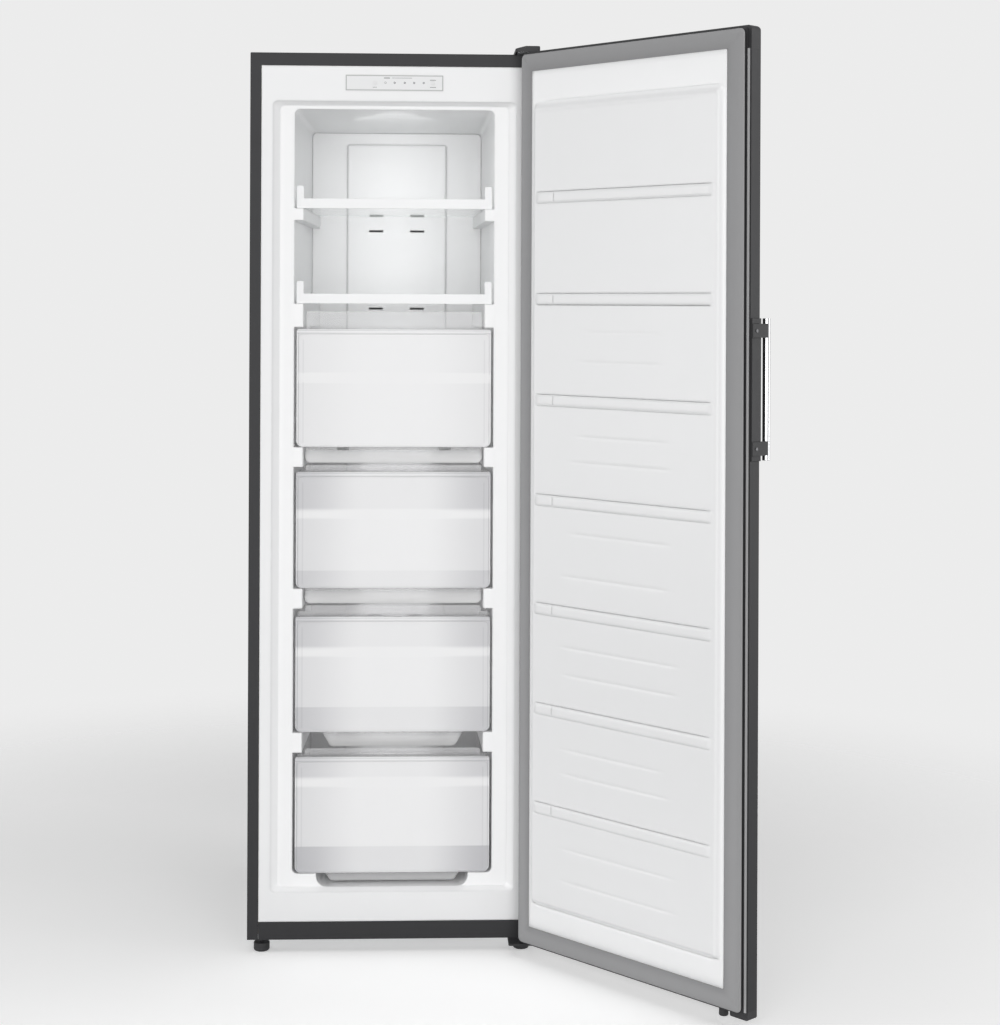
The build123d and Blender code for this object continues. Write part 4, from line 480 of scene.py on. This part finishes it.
def ring(limits, insets, radius, per_corner=7):
    """A rounded rectangle in the door's plane between its left, right, bottom and top limits, drawn
    in on each side by its own inset: each corner is a quarter circle of the radius less the inset,
    and a plain mitre once that is used up."""
    left, right, bottom, top = limits
    turn = np.linspace(0, math.pi / 2, per_corner)
    loops = []
    for quarter, (sx, sz) in enumerate(((1, 1), (-1, 1), (-1, -1), (1, -1))):
        inset_x = insets[1] if sx > 0 else insets[0]
        inset_z = insets[3] if sz > 0 else insets[2]
        rx = max(radius - inset_x, 0.0)
        rz = max(radius - inset_z, 0.0)
        angle = turn + quarter * math.pi / 2
        cx = (right if sx > 0 else left) - sx * (inset_x + rx)
        cz = (top if sz > 0 else bottom) - sz * (inset_z + rz)
        loops.append(np.stack([cx + rx * np.cos(angle), cz + rz * np.sin(angle)], -1))
    return np.concatenate(loops)


# ---- Door: magnetic gasket ----

SEAT_Y = -314.0
GASKET_LEFT, GASKET_RIGHT = -291.6, 286.6
GASKET_BOTTOM, GASKET_TOP = (corner[2] for corner in limits_of("gasket"))
# Section of the seal: across from its outer edge, and height above its seat. A foot, a narrow
# folded neck, and a wide magnet strip with rounded edges.
GASKET_SECTION = (
    (7.0, 0.0), (7.0, 3.2), (4.6, 4.4), (4.6, 7.0), (2.2, 7.8), (0.7, 8.8), (0.0, 10.2),
    (0.2, 11.4), (0.9, 12.2), (2.2, 12.5), (2.8, 12.5), (19.0, 12.5), (35.8, 12.5), (36.4, 12.5),
    (37.8, 12.2), (38.5, 11.3), (38.7, 10.2), (38.0, 8.8), (36.4, 7.8), (34.2, 7.0), (34.2, 4.4),
    (32.0, 3.2), (32.0, 0.0),
)
GASKET_ACROSS = 38.7
# Width of the seal at the door's free side, hinge side, bottom and top
GASKET_BANDS = (40.6, 29.8, 36.7, 36.7)
GASKET_CORNER = 10.0


def gasket():
    """The seal's section carried round the rounded rectangle of the door's edge: point (i, j) is
    section point i at place j of the ring, drawn in by its distance across, in each side's width."""
    rows = []
    for across, height in GASKET_SECTION:
        loop = ring((GASKET_LEFT, GASKET_RIGHT, GASKET_BOTTOM, GASKET_TOP),
                    [across * band / GASKET_ACROSS for band in GASKET_BANDS], GASKET_CORNER)
        rows.append(np.column_stack([loop[:, 0], np.full(len(loop), SEAT_Y + height), loop[:, 1]]))
    grid = np.array(rows)
    faces = quads(grid.shape[0], grid.shape[1], closed_rows=True, closed_columns=True, flip=True)
    seal = mesh_of("door_gasket", swung(grid), faces, GASKET_GREY, "door")
    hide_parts("gasket")


gasket()

# ---- Door: ribbed inner panel ----

PANEL_Y = -303.0
PANEL_LEFT, PANEL_RIGHT = -249.0, 255.0
PANEL_BOTTOM, PANEL_TOP = 47.0, 1784.0
FLANGE_LEFT, FLANGE_RIGHT = -282.0, 278.0
FLANGE_BOTTOM, FLANGE_TOP = 20.0, 1811.0
PANEL_WALL = 1.6
PLATEAU = 11.5
# Where the plateau's sides rise and fall: free side, hinge side, bottom and top
FREE_SLOPE, HINGE_SLOPE = (-248.0, -236.5), (236.0, 248.0)
LOWER_SLOPE, UPPER_SLOPE = (98.0, 109.0), (1704.0, 1721.0)
LOWER_LINE, UPPER_GROOVE, UPPER_LINE = 95.5, 1703.0, 1722.5
RIBS = (296.4, 496.6, 698.3, 917.0, 1118.3, 1321.7, 1526.3)
RIB_LEFT, RIB_RIGHT = -228.0, 232.0
RIB_HALF = 10.6
NOTCH_X = 182.0
# Short stiffening grooves: height, free end, hinge end, depth
GROOVES = (
    (1255.9, -107, 112, 0.5), (1197.0, -107, 115, 0.7), (1049.2, -123, 118, 0.8),
    (998.0, -127, 138, 0.9), (855.5, -127, 137, 1.0), (769.5, -124, 157, 1.0),
    (628.0, -147, 160, 1.2), (573.3, -147, 152, 1.2), (424.3, -110, 157, 1.2),
    (375.9, -131, 157, 1.3), (226.5, -142, 156, 1.4), (162.0, -149, 155, 1.5),
)


def panel_height(x, z):
    """Height of the panel above its rim: a plateau with soft sides, minus a line under its upper
    moulding, plus seven ribs outlined by grooves, minus their notches and the short grooves."""
    across = step(x, *FREE_SLOPE) * (1 - step(x, *HINGE_SLOPE))
    upright = step(z, *LOWER_SLOPE) * (1 - step(z, *UPPER_SLOPE))
    height = PLATEAU * across * upright
    height -= 1.0 * line(z, UPPER_LINE, 1.6) * hump(x, -4, 224, 10)
    height -= 0.8 * line(z, UPPER_GROOVE, 2.6) * hump(x, 30, 190, 30)
    height -= 1.6 * line(z, LOWER_LINE, 2.0) * hump(x, 5, 228, 8)
    for middle in RIBS:
        body = hump(x, (RIB_LEFT + RIB_RIGHT) / 2, (RIB_RIGHT - RIB_LEFT) / 2 - 6, 6)
        away = np.abs(z - middle)
        height += 2.2 * hump(z, middle, RIB_HALF - 3.5, 3.5) * body
        height -= (0.9 * line(away, RIB_HALF + 1.0, 1.3) + 0.5 * line(z - middle, RIB_HALF + 1, 1.5)
                   ) * body
        height -= 1.3 * line(x, NOTCH_X, 1.5) * hump(z, middle, RIB_HALF - 3, 3)
    for level, free, hinge, depth in GROOVES:
        middle, half = (free + hinge) / 2, (hinge - free) / 2
        height -= depth * line(z, level, 2.6) * hump(x, middle, half - 20, 20)
    return height


def door_panel():
    """The panel as a height over a grid of close and coarse samples: point (i, j) is (x_j, rim +
    height(x_j, z_i), z_i). Its rim turns back to the seat and runs out as the flange that carries
    the gasket."""
    xs = samples(PANEL_LEFT, PANEL_RIGHT, 12.0,
                 ((-247, -237, 236, 248), (-4, -2, 0, 2, 4)),
                 ((-234, RIB_LEFT, RIB_RIGHT), (-6, -3, 0, 3, 6)),
                 ((NOTCH_X,), (-4, -2.5, -1.5, -0.7, 0, 0.7, 1.5, 2.5, 4)))
    zs = samples(PANEL_BOTTOM, PANEL_TOP, 16.0,
                 (RIBS, (-16, -14, -13, -12.2, -11.4, -10.6, -9.6, -8, -6.4, -3, 0, 3, 6.4, 8, 9.6,
                         10.6, 11.4, 12.2, 13, 14, 16)),
                 ([g[0] for g in GROOVES], (-7, -4.5, -3, -1.8, -0.8, 0, 0.8, 1.8, 3, 4.5, 7)),
                 ((LOWER_LINE, UPPER_GROOVE, UPPER_LINE),
                  (-6, -4, -2.6, -1.5, -0.7, 0, 0.7, 1.5, 2.6, 4, 6)),
                 ((100, 103, 107, 1709, 1716), (-2, 0, 2)))
    x, z = np.meshgrid(xs, zs)
    grid = np.stack([x, PANEL_Y + panel_height(x, z), z], -1)
    for _ in range(3):
        grid = np.concatenate([grid[:1], grid, grid[-1:]])
        grid = np.concatenate([grid[:, :1], grid, grid[:, -1:]], 1)
    edges = ((grid[:3], grid[:2], grid[:1]), (grid[-3:], grid[-2:], grid[-1:]),
             (grid[:, :3], grid[:, :2], grid[:, :1]), (grid[:, -3:], grid[:, -2:], grid[:, -1:]))
    for rim, foot, _ in edges:
        rim[..., 1] = np.minimum(rim[..., 1], PANEL_Y - 2.0)
        foot[..., 1] = SEAT_Y
    limits = ((2, FLANGE_BOTTOM), (2, FLANGE_TOP), (0, FLANGE_LEFT), (0, FLANGE_RIGHT))
    for (_, _, flange), (axis, limit) in zip(edges, limits):
        flange[..., axis] = limit
    faces = quads(grid.shape[0], grid.shape[1])
    panel = mesh_of("door_inner_panel", swung(grid), faces, DOOR_WHITE, "door")
    wall = panel.modifiers.new("wall", "SOLIDIFY")
    wall.thickness = PANEL_WALL * MM
    wall.offset = -1.0
    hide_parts("door_liner")


door_panel()


# ---- Door: dark gasket carrier as painted shadow, and grey edge trims as painted highlights ----

CARRIER_HALF = 290.0
CARRIER_BOTTOM, CARRIER_TOP = 7.8, 1822.9
CARRIER_WIDTH, CARRIER_CORNER = 16.0, 5.0
TRIM_OUTER, TRIM_INNER = 294.2, 290.2
TRIM_BACK, TRIM_FACE = -315.9, -313.6
TRIM_BOTTOM, TRIM_TOP = 9.0, 1784.0


def strip_ring(name, limits, across, low, high, finish):
    """A flat frame of a width and thickness carried round the door's edge, four points a section."""
    rows = []
    for inset, depth in ((0.0, low), (0.0, high), (across, high), (across, low)):
        loop = ring(limits, 4 * [inset], CARRIER_CORNER)
        rows.append(np.column_stack([loop[:, 0], np.full(len(loop), depth), loop[:, 1]]))
    grid = np.array(rows)
    faces = quads(4, grid.shape[1], closed_rows=True, closed_columns=True, flip=True)
    mesh_of(name, swung(grid), faces, finish, "door", smooth=False)


def prism(name, x, y, z, finish, body):
    """A straight block between three pairs of limits on the shut door."""
    corners = np.array([(x[i], y[j], z[k]) for i in (0, 1) for j in (0, 1) for k in (0, 1)])
    faces = ((0, 1, 3, 2), (4, 6, 7, 5), (0, 4, 5, 1), (2, 3, 7, 6), (0, 2, 6, 4), (1, 5, 7, 3))
    mesh_of(name, swung(corners), faces, finish, body, smooth=False)


# A dark strip at the seal's seat: partly a carrier, partly painted shadow in the gap beside the seal
strip_ring("gasket_carrier_shadow", (-CARRIER_HALF, CARRIER_HALF, CARRIER_BOTTOM, CARRIER_TOP),
           CARRIER_WIDTH, SEAT_Y + 0.1, SEAT_Y + 1.0, DARK_PLASTIC)
# Grey strips along the door's vertical edges: a painted highlight on the skin's folded edge
for side, tag in ((-1, "free"), (1, "hinge")):
    limits = sorted((side * TRIM_OUTER, side * TRIM_INNER))
    prism(f"edge_trim_highlight_{tag}", limits, (TRIM_BACK, TRIM_FACE), (TRIM_BOTTOM, TRIM_TOP), TRIM_HIGHLIGHT_GREY,
          "door")


# ---- Control panel: printed marks ----

PRINT_THICK = 0.08
# The print's back stands this far in front of the panel's face
PRINT_GAP = 0.02
PRINT_Y = limits_of("control_panel")[0][1] - PRINT_GAP
LAMPS_X = (-19.6, -0.7, 20.2, 39.6, 59.2)
LAMPS_Z = 1767.3
LAMP_RADIUS, FIRST_INNER, OTHER_INNER = 2.2, 1.6, 0.9
RING_POINTS = 20
# Printed lines: left end, right end, height of their middle, thickness
PRINTED_LINES = (
    (-22.8, -10.4, 1777.0, 1.8), (-6.3, 35.0, 1777.2, 0.9), (72.1, 84.5, 1773.2, 1.2),
    (72.2, 84.6, 1758.4, 1.2), (-46.0, -37.4, 1757.9, 1.0),
)


def ring_mark(x, z, radius, inner):
    """A printed ring on the panel: circles of two radii, front and back."""
    turn = np.linspace(0, 2 * math.pi, RING_POINTS, endpoint=False)
    rows = []
    for r, depth in ((inner, 0.0), (inner, PRINT_THICK), (radius, PRINT_THICK), (radius, 0.0)):
        rows.append(np.column_stack([x + r * np.cos(turn), np.full(RING_POINTS, PRINT_Y - depth),
                                     z + r * np.sin(turn)]))
    return np.array(rows), quads(4, RING_POINTS, closed_rows=True, closed_columns=True)


def line_mark(x0, x1, z, height):
    """A printed line on the panel: a rectangle at two depths, closed to its middle on both."""
    middle = (x0 + x1) / 2
    corners = np.array([(x0, z - height / 2), (x1, z - height / 2), (x1, z + height / 2),
                        (x0, z + height / 2)])
    rows = []
    for spread, depth in ((0.0, 0.0), (1.0, 0.0), (1.0, PRINT_THICK), (0.0, PRINT_THICK)):
        loop = (middle, z) + spread * (corners - (middle, z))
        rows.append(np.column_stack([loop[:, 0], np.full(4, PRINT_Y - depth), loop[:, 1]]))
    return np.array(rows), quads(4, 4, closed_columns=True)


def panel_marks():
    """The row of lamps with their rings and short generic lines, joined as one thin print."""
    shapes = []
    for number, x in enumerate(LAMPS_X):
        inner = OTHER_INNER if number else FIRST_INNER
        shapes.append(ring_mark(x, LAMPS_Z, LAMP_RADIUS, inner))
    for mark in PRINTED_LINES:
        shapes.append(line_mark(*mark))
    vertices, faces, start = [], [], 0
    for grid, cells in shapes:
        points = grid.reshape(-1, 3)
        vertices.append(points)
        faces.append(cells + start)
        start += len(points)
    mesh_of("panel_marks", np.concatenate(vertices), np.concatenate(faces), PRINT_GREY, "cabinet",
            smooth=False)


panel_marks()


# ---- Stage, light and camera ----

def plane(name, corners, finish):
    """A flat stage sheet through four corners in metres."""
    mesh = bpy.data.meshes.new(name)
    mesh.from_pydata(corners, [], [(0, 1, 2, 3)])
    obj = bpy.data.objects.new(name, mesh)
    bpy.context.scene.collection.objects.link(obj)
    coat(obj, finish)


FLOOR_Z = -0.0272
FLOOR_REACH = 4
FADE_START, FADE_END = 0.9, 2.6
# Brightness of the backdrop as it is seen, of the room's even light, and the lift of the seen floor
SHOWN = 0.84
AMBIENT = 0.10
FLOOR_LIFT = 0.36
BACKDROP_RAYS = ("Is Glossy Ray", "Is Transmission Ray")


def pale_floor():
    """Pale matt floor that fades into the backdrop with its distance from the freezer. The camera
    sees it lifted towards the backdrop, so that it keeps only a soft shadow."""
    finish = Finish("pale_floor", Roughness=0.8, Specular_IOR_Level=0.1, Emission_Color=grey(1.0))
    x, y = finish.axis("X") * MM, finish.axis("Y") * MM
    away = (x * x + y * y).math("SQRT")
    finish.feed("Base Color", finish.mix(finish.noise(3.0), grey(0.80), grey(0.82)))
    seen = finish.node("ShaderNodeLightPath", {}, {}, "Is Camera Ray")
    for kind in BACKDROP_RAYS:
        seen = seen.larger(finish.node("ShaderNodeLightPath", {}, {}, kind))
    finish.feed("Emission Strength", seen * FLOOR_LIFT)
    finish.feed("Alpha", 1.0 - away.rise(FADE_START, FADE_END))
    return finish


FLOOR_CORNERS = [(x * FLOOR_REACH, y * FLOOR_REACH, FLOOR_Z)
                 for x, y in ((-1, -1), (1, -1), (1, 1), (-1, 1))]
plane("floor", FLOOR_CORNERS, pale_floor())


def studio():
    """The room: a pale backdrop as the camera sees it, and a softer even light on the freezer."""
    world = bpy.data.worlds.new("studio")
    bpy.context.scene.world = world
    world.use_nodes = True
    nodes, links = world.node_tree.nodes, world.node_tree.links
    nodes.clear()
    paths = nodes.new("ShaderNodeLightPath")
    shown = nodes.new("ShaderNodeBackground")
    shown.inputs[0].default_value = grey(SHOWN)
    lit = nodes.new("ShaderNodeBackground")
    lit.inputs[0].default_value = grey(AMBIENT)
    pick = nodes.new("ShaderNodeMixShader")
    out = nodes.new("ShaderNodeOutputWorld")
    seen = paths.outputs["Is Camera Ray"]
    for kind in BACKDROP_RAYS:
        either = nodes.new("ShaderNodeMath")
        either.operation = "MAXIMUM"
        links.new(seen, either.inputs[0])
        links.new(paths.outputs[kind], either.inputs[1])
        seen = either.outputs[0]
    links.new(seen, pick.inputs[0])
    links.new(lit.outputs[0], pick.inputs[1])
    links.new(shown.outputs[0], pick.inputs[2])
    links.new(pick.outputs[0], out.inputs[0])


studio()


def softbox(name, place, target, width, height, power):
    """A rectangular studio lamp at a place, turned to face its target."""
    lamp = bpy.data.lights.new(name, "AREA")
    lamp.shape = "RECTANGLE"
    lamp.size, lamp.size_y, lamp.energy = width, height, power
    obj = bpy.data.objects.new(name, lamp)
    bpy.context.scene.collection.objects.link(obj)
    obj.location = place
    aim = np.array(target, float) - np.array(place, float)
    yaw = math.atan2(-aim[0], aim[1])
    pitch = math.atan2(math.hypot(aim[0], aim[1]), -aim[2])
    obj.rotation_euler = (pitch, 0.0, yaw)
    return obj


softbox("front_light", (0.1, -5.6, 1.5), (0.1, 0.0, 0.9), 5.2, 4.2, 215.0)
softbox("left_light", (-4.2, -1.2, 1.5), (0.4, -0.4, 0.9), 1.8, 2.6, 52.0)
softbox("right_light", (3.4, -0.9, 1.4), (0.4, -0.5, 0.9), 1.0, 2.6, 34.0)
softbox("top_light", (0.2, -1.4, 4.6), (0.2, -0.4, 0.0), 3.4, 3.4, 42.0)
# Soft fill inside the cabinet, above the drawers and behind their fronts
FILL_WIDTH = 0.16
for name, place, target, height, power in (
        ("upper_left_fill", (0.05, -0.20, 1.52), (-0.2, -0.05, 1.52), 0.36, 0.10),
        ("upper_right_fill", (-0.05, -0.20, 1.52), (0.2, -0.05, 1.52), 0.36, 0.10),
        ("drawer_back_fill", (0.0, 0.115, 0.70), (0.0, -0.3, 0.70), 1.1, 0.5),
        ("drawer_front_fill", (0.0, -0.22, 0.70), (0.0, 0.1, 0.70), 1.1, 0.7)):
    softbox(name, place, target, FILL_WIDTH, height, power).visible_camera = False

# The photograph's camera: its place in metres, its roll and turn, its focal length and the row of
# its level line in the photograph's own pixels
CAMERA_PLACE = (0.0506, -4.3808, 1.3103)
CAMERA_ROLL, CAMERA_TURN = -0.0041, -0.0412
PHOTO_HEIGHT = 1025
FOCAL_PIXELS = 1973.6
LEVEL_ROW = 304.6
SENSOR = 36.0

camera = bpy.data.objects.new("camera", bpy.data.cameras.new("camera"))
bpy.context.scene.collection.objects.link(camera)
camera.location = CAMERA_PLACE
camera.rotation_euler = (math.pi / 2, CAMERA_ROLL, CAMERA_TURN)
camera.data.sensor_width = SENSOR
camera.data.lens = FOCAL_PIXELS / PHOTO_HEIGHT * SENSOR
camera.data.shift_y = -(PHOTO_HEIGHT / 2 - LEVEL_ROW) / PHOTO_HEIGHT
camera.data.clip_end = 60.0
bpy.context.scene.camera = camera
bpy.context.scene.view_settings.view_transform = "Standard"
